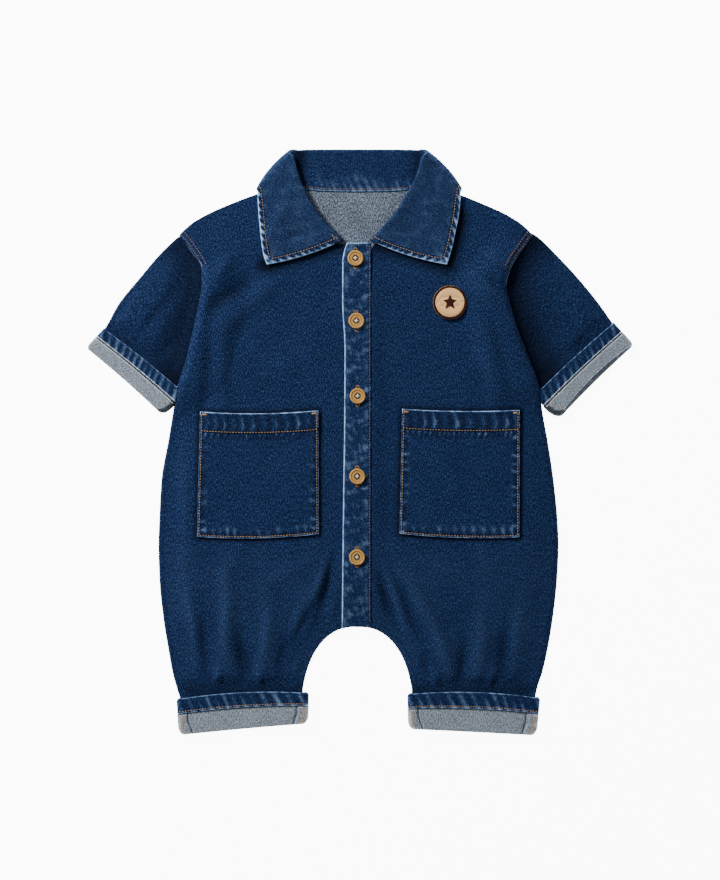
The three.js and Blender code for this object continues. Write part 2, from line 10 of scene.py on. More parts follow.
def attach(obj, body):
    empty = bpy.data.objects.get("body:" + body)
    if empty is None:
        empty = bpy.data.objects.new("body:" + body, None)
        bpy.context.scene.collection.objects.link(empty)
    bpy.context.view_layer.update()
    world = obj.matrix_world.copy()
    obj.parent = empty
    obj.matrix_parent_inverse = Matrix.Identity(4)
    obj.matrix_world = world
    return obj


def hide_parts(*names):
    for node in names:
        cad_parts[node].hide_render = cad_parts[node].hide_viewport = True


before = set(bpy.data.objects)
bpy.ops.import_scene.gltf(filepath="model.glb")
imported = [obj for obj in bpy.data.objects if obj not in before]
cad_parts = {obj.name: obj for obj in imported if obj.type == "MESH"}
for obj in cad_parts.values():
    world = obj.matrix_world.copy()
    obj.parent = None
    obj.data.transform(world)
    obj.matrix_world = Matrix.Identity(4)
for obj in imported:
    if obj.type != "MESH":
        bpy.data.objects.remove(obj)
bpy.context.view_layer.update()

# The back: one panel of dark denim with both back legs, cut to the shoulder seams, the neck and the
# side seams. It lies right side down on the surface, so its wrong side shows inside the neck. All
# sizes here and below are millimetres in the frame's axes.
MM = 0.001
PLY = 1.2
GAP = 0.3
LAYER = PLY + GAP
COLLAR_THICK = 2.0
MIDDLE = -2.1
SIDES = {"right": -1, "left": 1}

SIDE_EDGE = [  # y, x on the right, x on the left
    (176.8, -153.6, 147.0), (164.0, -144.3, 137.5), (149.6, -134.5, 128.6), (134.3, -134.3, 124.3),
    (121.5, -136.2, 126.9), (96.0, -141.7, 134.5), (70.5, -147.7, 144.3), (46.8, -155.3, 152.6),
    (28.1, -158.7, 155.3), (2.5, -163.0, 160.0), (-31.4, -168.9, 165.1), (-65.5, -170.8, 168.5),
    (-86.7, -171.5, 169.4), (-116.5, -170.6, 168.1), (-150.4, -167.2, 164.3), (-175.9, -163.0, 160.0),
    (-192.9, -160.0, 156.2), (-209.9, -155.3, 150.7), (-218.0, -152.8, 149.2), (-245.0, -150.0, 146.0),
]
SHOULDER_BOW = [  # share of the way from shoulder to neck, rise above the straight line
    (0, 0), (0.05, 2.4), (0.16, 5.6), (0.34, 7.0), (0.58, 6.4), (0.77, 5.0), (0.9, 2.5), (1, 0),
]
SHOULDER_LINE = [(64, 216.2), (85, 212), (101, 206.5), (119, 198), (135, 189.5), (150.5, 176.8)]
NECK_SEAM = {  # x and y of the collar seam on the front, from the shoulder to the front end
    "right": [(-66.9, 215.9), (-65.25, 211.4), (-59.75, 201.0), (-51.25, 190.0), (-40.15, 180.6),
              (-29.15, 174.7), (-18.55, 169.2)],
    "left": [(63.6, 215.9), (61.35, 211.4), (55.05, 201.0), (45.75, 190.0), (33.85, 180.6),
             (23.65, 174.7), (12.55, 169.2)],
}
BACK_NECK = {
    "right": [(-66.9, 215.9), (-63.0, 216.4), (-52.5, 215.6), (-29.5, 213.4), (MIDDLE, 213.0)],
    "left": [(63.6, 215.9), (60.0, 216.4), (49.5, 215.6), (26.6, 213.4), (MIDDLE, 213.0)],
}
ARCH_Y, ARCH_HALF, ARCH_RISE, ARCH_POWER = -235.0, 47.8, 78.6, 2.3
ARCH_FOOT = 46.3
LEG_END = (46.6, -236.5)


def through(table, column=1):
    """A smooth curve through a table's points that never swings past them."""
    rows = np.array(sorted(table, key=lambda row: row[0]), dtype=float)
    x, y = rows[:, 0], rows[:, column]
    slope = np.diff(y) / np.diff(x)
    before = np.concatenate([slope[:1], slope])
    after = np.concatenate([slope, slope[-1:]])
    same = before * after > 0
    tangent = np.where(same, 2 * before * after / np.where(same, before + after, 1), 0)

    def curve(value):
        t = np.clip(value, x[0], x[-1])
        i = np.clip(np.searchsorted(x, t, side="right") - 1, 0, len(slope) - 1)
        width = x[i + 1] - x[i]
        s = (t - x[i]) / width
        start = (1 + 2 * s) * (1 - s) ** 2 * y[i] + s * (1 - s) ** 2 * width * tangent[i]
        return start + s * s * (3 - 2 * s) * y[i + 1] + s * s * (s - 1) * width * tangent[i + 1]

    return curve


def ramp(start, end, value):
    t = np.clip((value - start) / (end - start), 0, 1)
    return t * t * (3 - 2 * t)


side_right, side_left = through(SIDE_EDGE, 1), through(SIDE_EDGE, 2)
shoulder_rise, shoulder_line = through(SHOULDER_BOW), through(SHOULDER_LINE)
back_neck = through(BACK_NECK["right"] + BACK_NECK["left"][:-1])


def arch_height(out):
    across = np.clip(np.abs(out) / ARCH_HALF, 0, 1)
    return ARCH_Y + ARCH_RISE * (1 - across ** ARCH_POWER) ** (1 / ARCH_POWER)


def arch_distance(x, y):
    across = np.abs(x - MIDDLE) / ARCH_HALF
    up = np.maximum(y - ARCH_Y, 0) / ARCH_RISE
    return ((across ** ARCH_POWER + up ** ARCH_POWER) ** (1 / ARCH_POWER) - 1) * ARCH_HALF


def side_distance(x, y):
    return np.minimum(x - side_right(y), side_left(y) - x)


def back_base(x, y):
    out = np.abs(x - MIDDLE)
    over_fall = (COLLAR_THICK + GAP) * ramp(178, 200, y) * (1 - ramp(86, 108, out))
    near_seam = 1 - ramp(0, 16, shoulder_line(out) - y)
    at_shoulder = (COLLAR_THICK + GAP) * near_seam * (1 - ramp(98, 122, out))
    in_cuff = LAYER * (1 - ramp(-205, -190, y))
    return np.maximum(np.maximum(over_fall, at_shoulder), in_cuff)


def follow(points, share):
    """Points at these shares of a smooth line through given ones."""
    points = np.array(points, dtype=float)
    steps = np.concatenate([[0], np.cumsum(np.linalg.norm(np.diff(points, axis=0), axis=1))])
    curves = [through(np.column_stack([steps, points[:, k]])) for k in range(points.shape[1])]
    return np.stack([curve(np.asarray(share) * steps[-1]) for curve in curves], axis=-1)


def edge_spaced(count, length, fine=(0.12, 0.35, 0.7, 1.3)):
    """Shares from 0 to 1 that crowd at both ends, where a cut edge rounds over."""
    near = np.array([0.0, *fine]) / length
    middle = np.linspace(near[-1], 1 - near[-1], count)
    return np.concatenate([near[:-1], middle, 1 - near[-2::-1]])


def panel_grid(side, neck, edge, columns, rows_per_mm):
    """A panel's plan: rows from the side edge to the neck, the middle edge, the arch and the leg end."""
    sign = SIDES[side]
    side_x = side_right if side == "right" else side_left
    top = neck[-1][1] - 2.4
    stretches = [(176.8, 128, 62), (128, -146, 330), (-146, -209.9, 66), (-209.9, -244, 27)]
    outer, inner, fade = [], [], []
    for number, (start, end, length) in enumerate(stretches):
        t = np.linspace(0, 1, max(int(length * rows_per_mm), 3))[(1 if number else 0):]
        outer.append(start + (end - start) * t)
        if number == 0:
            inner.append(follow(neck, t))
        elif number == 1:
            heights = top + (arch_height(edge - MIDDLE) - top) * t
            inner.append(np.column_stack([np.full(len(t), float(edge)), heights]))
        elif number == 2:
            first = sign * (edge - MIDDLE)
            out = first + (ARCH_FOOT - first) * np.sin(t * math.pi / 2)
            inner.append(np.column_stack([MIDDLE + sign * out, arch_height(out)]))
        else:
            foot = ARCH_FOOT + (LEG_END[0] - ARCH_FOOT) * t
            low = float(arch_height(ARCH_FOOT))
            inner.append(np.column_stack([MIDDLE + sign * foot, low + (LEG_END[1] - low) * t]))
        fade.append(np.clip(1 - t / 0.7, 0, 1) ** 2 if number == 0 else np.zeros(len(t)))
    outer, inner, fade = np.concatenate(outer), np.concatenate(inner), np.concatenate(fade)
    last = len(outer) - 1
    fine = np.array([0.05, 0.15, 0.3, 0.55])
    places = np.concatenate([[0], fine, np.arange(1, last), last - fine[::-1], [last]])
    pick = lambda values: np.interp(places, np.arange(len(outer)), values)[:, None]
    t = edge_spaced(columns, 150)[None, :]
    side_y, inner_x, inner_y = pick(outer), pick(inner[:, 0]), pick(inner[:, 1])
    x = side_x(side_y) + (inner_x - side_x(side_y)) * t
    y = side_y + (inner_y - side_y) * t + pick(fade) * shoulder_rise(t)
    return np.stack([x, y], axis=-1)


def edge_reach(middle, cyclic=False):
    """How far each point of a grid lies from the nearest edge of the cloth."""
    def run(axis):
        steps = np.linalg.norm(np.diff(middle, axis=axis), axis=-1)
        zero = np.zeros_like(np.take(steps, [0], axis=axis))
        ahead = np.concatenate([zero, np.cumsum(steps, axis=axis)], axis=axis)
        return np.minimum(ahead, np.take(ahead, [-1], axis=axis) - ahead)
    return run(0) if cyclic else np.minimum(run(0), run(1))


def grid_normals(middle, cyclic=False):
    along = np.gradient(middle, axis=0)
    if cyclic:
        across = (np.roll(middle, -1, axis=1) - np.roll(middle, 1, axis=1)) / 2
    else:
        across = np.gradient(middle, axis=1)
    normal = np.cross(along, across)
    return normal / np.maximum(np.linalg.norm(normal, axis=-1, keepdims=True), 1e-9)


def cloth_wall(middle, thick, grain, worn=0.0, cyclic=False, reach=None, joined=None, turned=None):
    """A closed cloth wall on a grid of middle points, its cut edges rounded over, with its outer and
    inner face. grain is each point's place on the cloth in millimetres, across and along the warp,
    and worn its rubbing above zero and its painted shade below zero. joined marks the rows that run on past
    the last column."""
    rows, columns = middle.shape[:2]
    half = np.broadcast_to(np.asarray(thick, dtype=float), (rows, columns)) / 2
    near = np.clip((edge_reach(middle, cyclic) if reach is None else reach) / half, 0, 1)
    half = half * np.sqrt(1 - (1 - near) ** 2)
    normal = grid_normals(middle, cyclic)
    outward = middle - middle.mean(axis=1, keepdims=True) if cyclic else np.array([0, 0, 1.0])
    inside_out = (normal * outward).sum() < 0 if turned is None else turned
    if inside_out:
        normal = -normal
    upper, lower = middle + normal * half[..., None], middle - normal * half[..., None]
    upper[..., 2], lower[..., 2] = np.maximum(upper[..., 2], 0), np.maximum(lower[..., 2], 0)
    number = np.arange(rows * columns).reshape(rows, columns)
    edge = np.zeros((rows, columns), dtype=bool)
    edge[[0, -1], :] = True
    if not cyclic:
        edge[:, [0, -1]] = True
    if joined is not None:
        edge[joined, -1] = False
    under = np.where(edge, number, 0)
    under[~edge] = rows * columns + np.arange(np.count_nonzero(~edge))

    def quads(grid):
        return np.stack([grid[:-1, :-1], grid[1:, :-1], grid[1:, 1:], grid[:-1, 1:]], axis=2)

    ring = (lambda grid: np.concatenate([grid, grid[:, :1]], axis=1)) if cyclic else (lambda grid: grid)
    place = np.concatenate([grain, 2 * grain[:, -1:] - grain[:, -2:-1]], axis=1) if cyclic else grain
    top, bottom = quads(ring(number)).reshape(-1, 4), quads(ring(under)).reshape(-1, 4)
    corner = quads(place).reshape(-1, 4, 2)
    rubbing_and_shade = np.broadcast_to(np.asarray(worn, dtype=float), (rows, columns))
    onward, backward = slice(None), slice(None, None, -1)
    turn_top, turn_bottom = (backward, onward) if inside_out else (onward, backward)
    return {
        "points": np.concatenate([upper.reshape(-1, 3), lower[~edge]]) * MM,
        "faces": np.concatenate([top[:, turn_top], bottom[:, turn_bottom]]),
        "corners": np.concatenate([corner[:, turn_top], corner[:, turn_bottom]]),
        "sides": np.repeat([0, 1], len(top)),
        "worn": np.concatenate([rubbing_and_shade.ravel(), rubbing_and_shade[~edge]]),
        "upper": upper,
        "lower": lower,
    }


def cloth_piece(name, walls, materials):
    """One mesh of cloth walls, welded where they run on. The first material is for the outer face."""
    starts = np.cumsum([0] + [len(wall["points"]) for wall in walls])
    faces = np.concatenate([wall["faces"] + start for wall, start in zip(walls, starts)])
    mesh = bpy.data.meshes.new(name)
    mesh.from_pydata(np.concatenate([wall["points"] for wall in walls]).tolist(), [], faces.tolist())
    for material in materials:
        mesh.materials.append(material)
    sides = np.minimum(np.concatenate([wall["sides"] for wall in walls]), len(materials) - 1)
    mesh.polygons.foreach_set("material_index", sides)
    mesh.polygons.foreach_set("use_smooth", np.ones(len(faces), dtype=bool))
    corners = np.concatenate([wall["corners"] for wall in walls])
    mesh.uv_layers.new(name="grain").data.foreach_set("uv", corners.astype(np.float32).ravel())
    worn = np.concatenate([wall["worn"] for wall in walls])
    mesh.attributes.new("worn", "FLOAT", "POINT").data.foreach_set("value", worn.astype(np.float32))
    if len(walls) > 1:
        welded = bmesh.new()
        welded.from_mesh(mesh)
        bmesh.ops.remove_doubles(welded, verts=welded.verts, dist=0.002 * MM)
        welded.to_mesh(mesh)
        welded.free()
    piece = bpy.data.objects.new(name, mesh)
    bpy.context.scene.collection.objects.link(piece)
    return piece


def wave(x, y, seed):
    """A soft unevenness between about -1 and 1, from a few crossing waves."""
    random = np.random.default_rng(seed)
    total = np.zeros(np.broadcast(x, y).shape)
    for pitch in (95, 61, 43, 31, 23):
        angle, phase = random.uniform(0, math.tau, 2)
        turn = (x * math.cos(angle) + y * math.sin(angle)) * math.tau / pitch
        total += np.sin(turn + phase + 0.7 * np.sin(turn * 0.37 + phase)) * (pitch / 95) ** 0.6
    return total / 2.6


def creases(table, x, y):
    """Soft ridges and troughs: centre, direction in degrees, half length, half width and height."""
    height = np.zeros(np.broadcast(x, y).shape)
    for cx, cy, degrees, length, width, rise in table:
        angle = math.radians(degrees)
        along = (x - cx) * math.cos(angle) + (y - cy) * math.sin(angle)
        bend = 0.24 * width * np.sin(along / length * 2.1 + cx)
        across = -(x - cx) * math.sin(angle) + (y - cy) * math.cos(angle) + bend
        height += rise * np.exp(-1.6 * (along / length) ** 2 - 1.6 * (across / width) ** 2)
    return height


def new_group(name, inputs, outputs):
    """An empty shader group with named sockets: kind, name and, on an input, its first value."""
    group = bpy.data.node_groups.new(name, "ShaderNodeTree")
    for kind, label, value in inputs:
        group.interface.new_socket(label, in_out="INPUT", socket_type=kind).default_value = value
    for kind, label in outputs:
        group.interface.new_socket(label, in_out="OUTPUT", socket_type=kind)
    return group, group.nodes.new("NodeGroupInput").outputs, group.nodes.new("NodeGroupOutput").inputs


def shader_node(tree, kind, settings=None, **inputs):
    """A node with its settings and inputs; an input that is another node's output is linked."""
    node = tree.nodes.new("ShaderNode" + kind)
    for key, value in (settings or {}).items():
        setattr(node, key, value)
    for key, value in inputs.items():
        socket = node.inputs[int(key[1:])] if key[1:].isdigit() else node.inputs[key.replace("_", " ")]
        if isinstance(value, bpy.types.NodeSocket):
            tree.links.new(value, socket)
        else:
            socket.default_value = value
    return node


def maths(tree, operation, first, second=0.0, third=0.0):
    return shader_node(tree, "Math", {"operation": operation}, i0=first, i1=second, i2=third).outputs[0]


def blend_colour(tree, share, first, second, mode="MIX"):
    settings = {"data_type": "RGBA", "blend_type": mode}
    return shader_node(tree, "Mix", settings, i0=share, i6=first, i7=second).outputs[2]


def twill_group():
    """The twill's height and how its threads differ: diagonal ribs over the warp, thick and thin
    places along it, single raised threads, and the slow change from one part of the cloth to another."""
    inputs = [("NodeSocketVector", "Place", (0, 0, 0)), ("NodeSocketFloat", "Pitch", 0.55)]
    outputs = [("NodeSocketFloat", name) for name in ("Height", "Slub", "Fleck", "Mottle")]
    group, given, result = new_group("denim twill", inputs, outputs)
    place = shader_node(group, "SeparateXYZ", None, Vector=given["Place"])
    x, y = place.outputs[0], place.outputs[1]
    diagonal = maths(group, "ADD", maths(group, "MULTIPLY", x, 0.87), maths(group, "MULTIPLY", y, 0.5))
    turns = maths(group, "DIVIDE", maths(group, "MULTIPLY", diagonal, math.tau), given["Pitch"])
    rib = maths(group, "MULTIPLY_ADD", maths(group, "SINE", turns), 0.5, 0.5)
    warp_turns = maths(group, "DIVIDE", maths(group, "MULTIPLY", x, 1.25 * math.tau), given["Pitch"])
    warp = maths(group, "MULTIPLY_ADD", maths(group, "SINE", warp_turns), 0.5, 0.5)
    height = maths(group, "MULTIPLY_ADD", rib, 0.65, maths(group, "MULTIPLY", warp, 0.35))
    group.links.new(height, result["Height"])

    def grainy(name, scale_x, scale_y, detail, rough):
        across, along = maths(group, "MULTIPLY", x, scale_x), maths(group, "MULTIPLY", y, scale_y)
        spot = shader_node(group, "CombineXYZ", None, X=across, Y=along).outputs[0]
        settings = {"noise_dimensions": "2D"}
        noise = shader_node(group, "TexNoise", settings, Vector=spot, Scale=1.0, Detail=detail,
                            Roughness=rough)
        group.links.new(noise.outputs[0], result[name])

    grainy("Slub", 1.5, 0.4, 1.0, 0.5)
    grainy("Fleck", 1.15, 0.85, 2.0, 0.7)
    grainy("Mottle", 0.05, 0.03, 3.0, 0.6)
    return group


def wear_and_shade_group():
    """Faded indigo and painted shade: the blue faded to the pale core of the yarn where Worn is
    above zero, and darkened towards black as painted shade where it is below."""
    inputs = [("NodeSocketFloat", "Worn", 0.0), ("NodeSocketFloat", "Rib", 0.5),
              ("NodeSocketFloat", "Fleck", 0.5), ("NodeSocketColor", "Blue", (0, 0, 0, 1)),
              ("NodeSocketColor", "Pale", (1, 1, 1, 1))]
    group, given, result = new_group("rubbed indigo", inputs, [("NodeSocketColor", "Colour")])
    fleck = maths(group, "MULTIPLY_ADD", given["Fleck"], 3.2, -0.85)
    grain = maths(group, "MULTIPLY_ADD", given["Rib"], 0.25, fleck)
    firm = maths(group, "MULTIPLY_ADD", given["Worn"], 0.5, grain)
    above = maths(group, "POWER", maths(group, "MAXIMUM", given["Worn"], 0.0), 1.5)
    share = shader_node(group, "Clamp", None, Value=maths(group, "MULTIPLY", above, firm)).outputs[0]
    # Below zero the blue is darkened towards black: painted shade.
    below = maths(group, "MULTIPLY", given["Worn"], -1.0)
    shade_share = shader_node(group, "Clamp", None, Value=below, Max=0.8).outputs[0]
    blue = blend_colour(group, shade_share, given["Blue"], (0, 0, 0, 1))
    group.links.new(blend_colour(group, share, blue, given["Pale"]), result["Colour"])
    return group


twill, rubbed_and_shaded = twill_group(), wear_and_shade_group()


def cloth_material(name, dark, mean, light, pale, slub, fleck, mottle, specular):
    """Denim seen from one side, from the colours of its shaded, plain and raised threads and of their
    bare core, and from how strongly its slubs, its flecks and its mottling show."""
    material = bpy.data.materials.new(name)
    material.use_nodes = True
    tree = material.node_tree
    shader = tree.nodes["Principled BSDF"]
    uv = shader_node(tree, "UVMap", {"uv_map": "grain"}).outputs[0]
    weave = shader_node(tree, "Group", {"node_tree": twill}, Place=uv).outputs
    spread = lambda name, gain: maths(tree, "MULTIPLY", maths(tree, "SUBTRACT", weave[name], 0.5), gain)
    tone = maths(tree, "ADD", spread("Slub", slub), spread("Fleck", fleck))
    tone = maths(tree, "ADD", tone, spread("Mottle", mottle))
    tone = maths(tree, "ADD", tone, spread("Height", 0.25))
    tone = maths(tree, "ADD", tone, 0.5)
    blend = shader_node(tree, "ValToRGB", None, Fac=tone)
    stops = blend.color_ramp.elements
    stops[0].position, stops[0].color = 0.12, (*dark, 1)
    stops[1].position, stops[1].color = 0.92, (*light, 1)
    stops.new(0.5).color = (*mean, 1)
    # The cloth's attribute is rubbing where above zero and painted shade where below.
    rubbing_and_shade = shader_node(tree, "Attribute", {"attribute_name": "worn"}).outputs["Fac"]
    wear_and_shade = shader_node(tree, "Group", {"node_tree": rubbed_and_shaded}, Worn=rubbing_and_shade, Rib=weave["Height"],
                       Fleck=weave["Fleck"], Blue=blend.outputs[0], Pale=(*pale, 1))
    tree.links.new(wear_and_shade.outputs[0], shader.inputs["Base Color"])
    tree.links.new(maths(tree, "MULTIPLY_ADD", weave["Fleck"], 0.12, 0.82), shader.inputs["Roughness"])
    relief = maths(tree, "MULTIPLY_ADD", weave["Slub"], 1.6, weave["Height"])
    relief = maths(tree, "MULTIPLY_ADD", weave["Fleck"], 1.2, relief)
    raised = shader_node(tree, "Bump", None, Strength=0.5, Distance=0.12 * MM, Height=relief)
    tree.links.new(raised.outputs[0], shader.inputs["Normal"])
    shader.inputs["Specular IOR Level"].default_value = specular
    return material


denim = cloth_material(
    "dark indigo denim", dark=(0.0005, 0.0026, 0.0110), mean=(0.0028, 0.0121, 0.050),
    light=(0.035, 0.075, 0.195), pale=(0.34, 0.55, 0.92), slub=0.8, fleck=1.35, mottle=0.10, specular=0.08)
denim_inside = cloth_material(
    "denim wrong side", dark=(0.060, 0.080, 0.110), mean=(0.18, 0.215, 0.26),
    light=(0.50, 0.56, 0.62), pale=(0.90, 0.93, 0.97), slub=0.9, fleck=1.2, mottle=0.15, specular=0.1)
# A darker copy of the wrong side for the back: painted shade inside the neck, under the collar.
inside_back = cloth_material(
    "denim wrong side of the back", dark=(0.018, 0.028, 0.048), mean=(0.085, 0.110, 0.150),
    light=(0.30, 0.35, 0.42), pale=(0.90, 0.93, 0.97), slub=1.1, fleck=2.0, mottle=0.3, specular=0.1)

BACK_CREASES = [
    (-112, 60, 84, 60, 9, 0.6), (96, 40, 96, 66, 8, 0.5), (-92, -170, 96, 40, 9, 0.5),
    (84, -172, 82, 38, 8, 0.4), (-34, -128, 60, 30, 6, 0.5), (30, -130, 120, 28, 6, 0.4),
    (0, 60, 88, 90, 11, 0.4),
]


def back_middle(x, y):
    seam = 0.45 * (1 - ramp(0, 2.2, np.minimum(side_distance(x, y), arch_distance(x, y))))
    inside = ramp(6, 26, side_distance(x, y)) * ramp(6, 22, arch_distance(x, y))
    inside = inside * ramp(-200, -180, y) * (1 - ramp(150, 176, y))
    relief = seam * ramp(-210, -203, y) + inside * np.maximum(creases(BACK_CREASES, x, y), 0)
    return back_base(x, y) + PLY / 2 + relief


def declare(piece, node=None):
    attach(piece, "root")
    if node:
        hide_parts(node)


back_walls = []
for side in SIDES:
    grid = panel_grid(side, BACK_NECK[side], MIDDLE, 58, 0.42)
    x, y = grid[..., 0], grid[..., 1]
    lie = np.stack([x, y, back_middle(x, y)], axis=-1)
    to_ends = np.minimum(np.arange(len(grid)), np.arange(len(grid))[::-1])[:, None] * 0.3
    to_sides = np.minimum(np.abs(x - x[:, :1]), np.maximum(arch_distance(x, y), 0))
    to_neck = np.maximum(back_neck(x) - y, 0) + 9 * (np.abs(x) > 68)
    to_edge = np.minimum(np.minimum(to_ends, to_sides), to_neck)
    on_middle = np.abs(x[:, -1] - MIDDLE) < 0.001
    back_walls.append(cloth_wall(lie, PLY, grid, reach=to_edge, joined=on_middle))
back = cloth_piece("back_panel", back_walls, [inside_back, denim])
declare(back, "back")

# Both fronts: a right and a left panel of the same denim, each with its leg, joined to the back at
# the shoulders, sides and inside legs. The right one runs on under the placket as the button stand.
# At the armholes their edges roll over the sleeves, which are tucked in between front and back.
STAND_EDGE = 7.0
PLACKET_RIGHT = 9.7
FRONT_CREASES = [
    (-113, 124, 42, 34, 9, -1.7), (-104, 108, 34, 28, 9, 0.9), (-116, 148, 52, 26, 8, 1.0),
    (-80, 132, 40, 30, 9, 0.7), (-129, 70, 82, 50, 7, -1.0), (-116, 60, 84, 60, 8, 0.9),
    (-60, 66, 20, 44, 10, 0.5), (-148, -46, 88, 60, 7, 0.6), (-29, -124, 74, 34, 4.6, -2.0),
    (-37, -126, 72, 36, 5, 1.4), (-21, -138, 76, 20, 3.4, 1.0), (-44, -146, 66, 30, 4.5, -1.2),
    (-54, -150, 62, 30, 5.5, 1.0), (-113, -150, 94, 44, 8, 1.8), (-97, -186, 97, 26, 6.5, -2.4),
    (-80, -164, 84, 36, 7, 1.6), (-64, -178, 78, 26, 6, -1.3), (-132, -172, 100, 34, 6.5, -1.6),
    (-142, -150, 98, 40, 6, 0.9), (-52, -190, 70, 14, 4, 1.0), (-110, -104, 60, 30, 9, 0.6),
    (-66, -112, 20, 34, 8, 0.5), (-120, -200, 92, 12, 4, 1.2), (-86, -202, 88, 10, 4, 1.2),
    (122, 128, 123, 24, 7, -2.0), (109, 124, 118, 28, 8, 1.2), (118, 154, 130, 22, 8, 1.0),
    (84, 136, 140, 30, 9, 0.7), (122, 66, 100, 50, 7, -1.0), (110, 58, 98, 60, 8, 0.9),
    (56, 70, 164, 44, 10, 0.5), (146, -46, 91, 60, 7, 0.6), (22, -130, 108, 30, 4.4, -1.8),
    (31, -130, 112, 34, 5, 1.3), (16, -140, 104, 18, 3.2, 0.8), (44, -146, 116, 32, 5, -1.2),
    (56, -140, 122, 44, 7, 1.3), (56, -196, 96, 16, 5, -1.8), (72, -180, 104, 26, 7, 1.5),
    (88, -186, 92, 24, 6, -1.4), (102, -172, 86, 40, 8, 1.4), (122, -180, 80, 30, 7, -1.3),
    (136, -162, 82, 40, 7, 1.0), (112, -104, 120, 30, 9, 0.6), (70, -108, 160, 34, 8, 0.5),
    (112, -203, 88, 10, 4, 1.2), (64, -203, 92, 10, 4, 1.1),
]


def front_base(x, y):
    out = np.abs(x - MIDDLE)
    inward = side_distance(x, y)
    loft = 3.4 * ramp(0, 34, inward) * ramp(0, 24, arch_distance(x, y)) * ramp(-212, -195, y)
    lift = np.where(x > MIDDLE, 9.5, 7.5) * (0.42 + 0.58 * np.sqrt(ramp(0, 7, inward)))
    over_sleeve = lift * ramp(14, 56, y) * (1 - ramp(14, 64, inward)) * (1 - 0.5 * ramp(140, 176, y))
    at_neck = ramp(125, 166, y) * (1 - ramp(90, 118, out))
    stand = 3 - 0.7 * (1 - ramp(0, 12, shoulder_line(out) - y))
    lofted = LAYER + np.maximum(loft, over_sleeve) * (1 - at_neck) + stand * at_neck
    return np.maximum(back_base(x, y) + LAYER, lofted)


def placket_step(x, y):
    return (LAYER - 0.8 * ramp(130, 152, y)) * (1 - ramp(10, 26, x))


def front_relief(x, y):
    inside = ramp(0, 16, side_distance(x, y)) * ramp(0, 12, arch_distance(x, y)) * ramp(-213, -200, y)
    by_placket = ramp(-30, -16, x) * (1 - ramp(12, 24, x))
    inside = inside * (1 - ramp(158, 172, y)) * (1 - 0.8 * by_placket)
    relief = 1.6 * creases(FRONT_CREASES, x, y) + 0.22 * wave(x, y, 4) + 0.08 * wave(x * 3.1, y * 3.1, 9)
    room = np.maximum(front_base(x, y) - back_base(x, y) - LAYER - 0.7, 0)
    return np.maximum(inside * relief, -room)


def front_top(x, y):
    """The height of the fronts' right side, before the seams' own relief."""
    return front_base(x, y) + np.where(x > PLACKET_RIGHT, placket_step(x, y), 0) + PLY + front_relief(x, y)


def puckers(run, reach, pitch, seed, width=5.0, slant=0.6):
    """Roping beside a stitched edge: slanting pale ridges, 0 to 1, each with its own strength and
    length, and dark hollows between them."""
    random = np.random.default_rng(seed)
    phases = random.uniform(0, math.tau, 3)
    strengths, lengths = random.uniform(0.6, 1.0, 401), random.uniform(0.55, 1.15, 401)
    count = (run + slant * reach) / pitch + 0.3 * np.sin(run / pitch / 1.7 + phases[0])
    count = count + 0.35 * np.sin(run / pitch / 4.3 + phases[1]) + 50
    number = np.floor(count).astype(int) % 401
    ridge = np.sin(math.pi * (count - np.floor(count))) ** 2
    fade = np.clip(1 - np.abs(reach) / (width * lengths[number]), 0, 1) ** 0.6
    return ridge * strengths[number] * fade


def blotches(x, y, seed, scale=5.0):
    """Rubbed patches of uneven shape, 0 to 1."""
    spots = wave(x * scale, y * scale * 0.8, seed) + wave(x * scale * 1.7, y * scale * 1.4, seed + 1)
    return np.clip(0.15 + 0.8 * spots, 0, 1)


def rubbed_edge(reach, width=0.9, strength=0.8):
    return strength * np.exp(-(np.abs(reach) / width) ** 2)


def line_reach(x, y, path):
    """How far each point lies from a line of straight stretches."""
    nearest = np.full(np.shape(x), 1e9)
    for (ax, ay), (bx, by) in zip(path[:-1], path[1:]):
        length = max((bx - ax) ** 2 + (by - ay) ** 2, 1e-9)
        share = np.clip(((x - ax) * (bx - ax) + (y - ay) * (by - ay)) / length, 0, 1)
        nearest = np.minimum(nearest, np.hypot(x - ax - share * (bx - ax), y - ay - share * (by - ay)))
    return nearest


COLLAR_EDGE = {  # where the collar's leaves will end on the fronts
    "right": [(-12.0, 172.0), (-46.0, 162.5), (-78.8, 151.3)],
    "left": [(8.0, 172.0), (42.0, 162.5), (73.9, 151.3), (78.8, 167.4), (84.0, 192.9)],
}

POCKETS = {  # where each pocket will lie on its front, and how far its top and its foot sag
    "right": {"top": [(-135.8, 27.1), (-34.8, 28.1)], "foot": [(-138.5, -79.9), (-34.3, -77.6)],
              "sags": (2.1, 2.5)},
    "left": {"top": [(35.7, 29.4), (136.2, 28.5)], "foot": [(33.4, -77.3), (135.8, -80.3)],
             "sags": (1.5, 2.0)},
}


def pocket_place(shape, u, v):
    """A plan point on a pocket, by shares of its width and depth."""
    u, v = np.broadcast_arrays(np.asarray(u, dtype=float), np.asarray(v, dtype=float))
    top, foot, sags = (np.array(shape[name]) for name in ("top", "foot", "sags"))
    upper = top[0] + (top[1] - top[0]) * u[..., None]
    lower = foot[0] + (foot[1] - foot[0]) * u[..., None]
    spot = upper + (lower - upper) * v[..., None]
    spot[..., 1] -= (sags[0] + (sags[1] - sags[0]) * v) * 4 * u * (1 - u)
    return spot


def pocket_outline(shape):
    share = np.linspace(0, 1, 9)
    sides = [(share, 0), (1, share), (share[::-1], 1), (0, share[::-1])]
    return np.concatenate([pocket_place(shape, u, v) for u, v in sides])


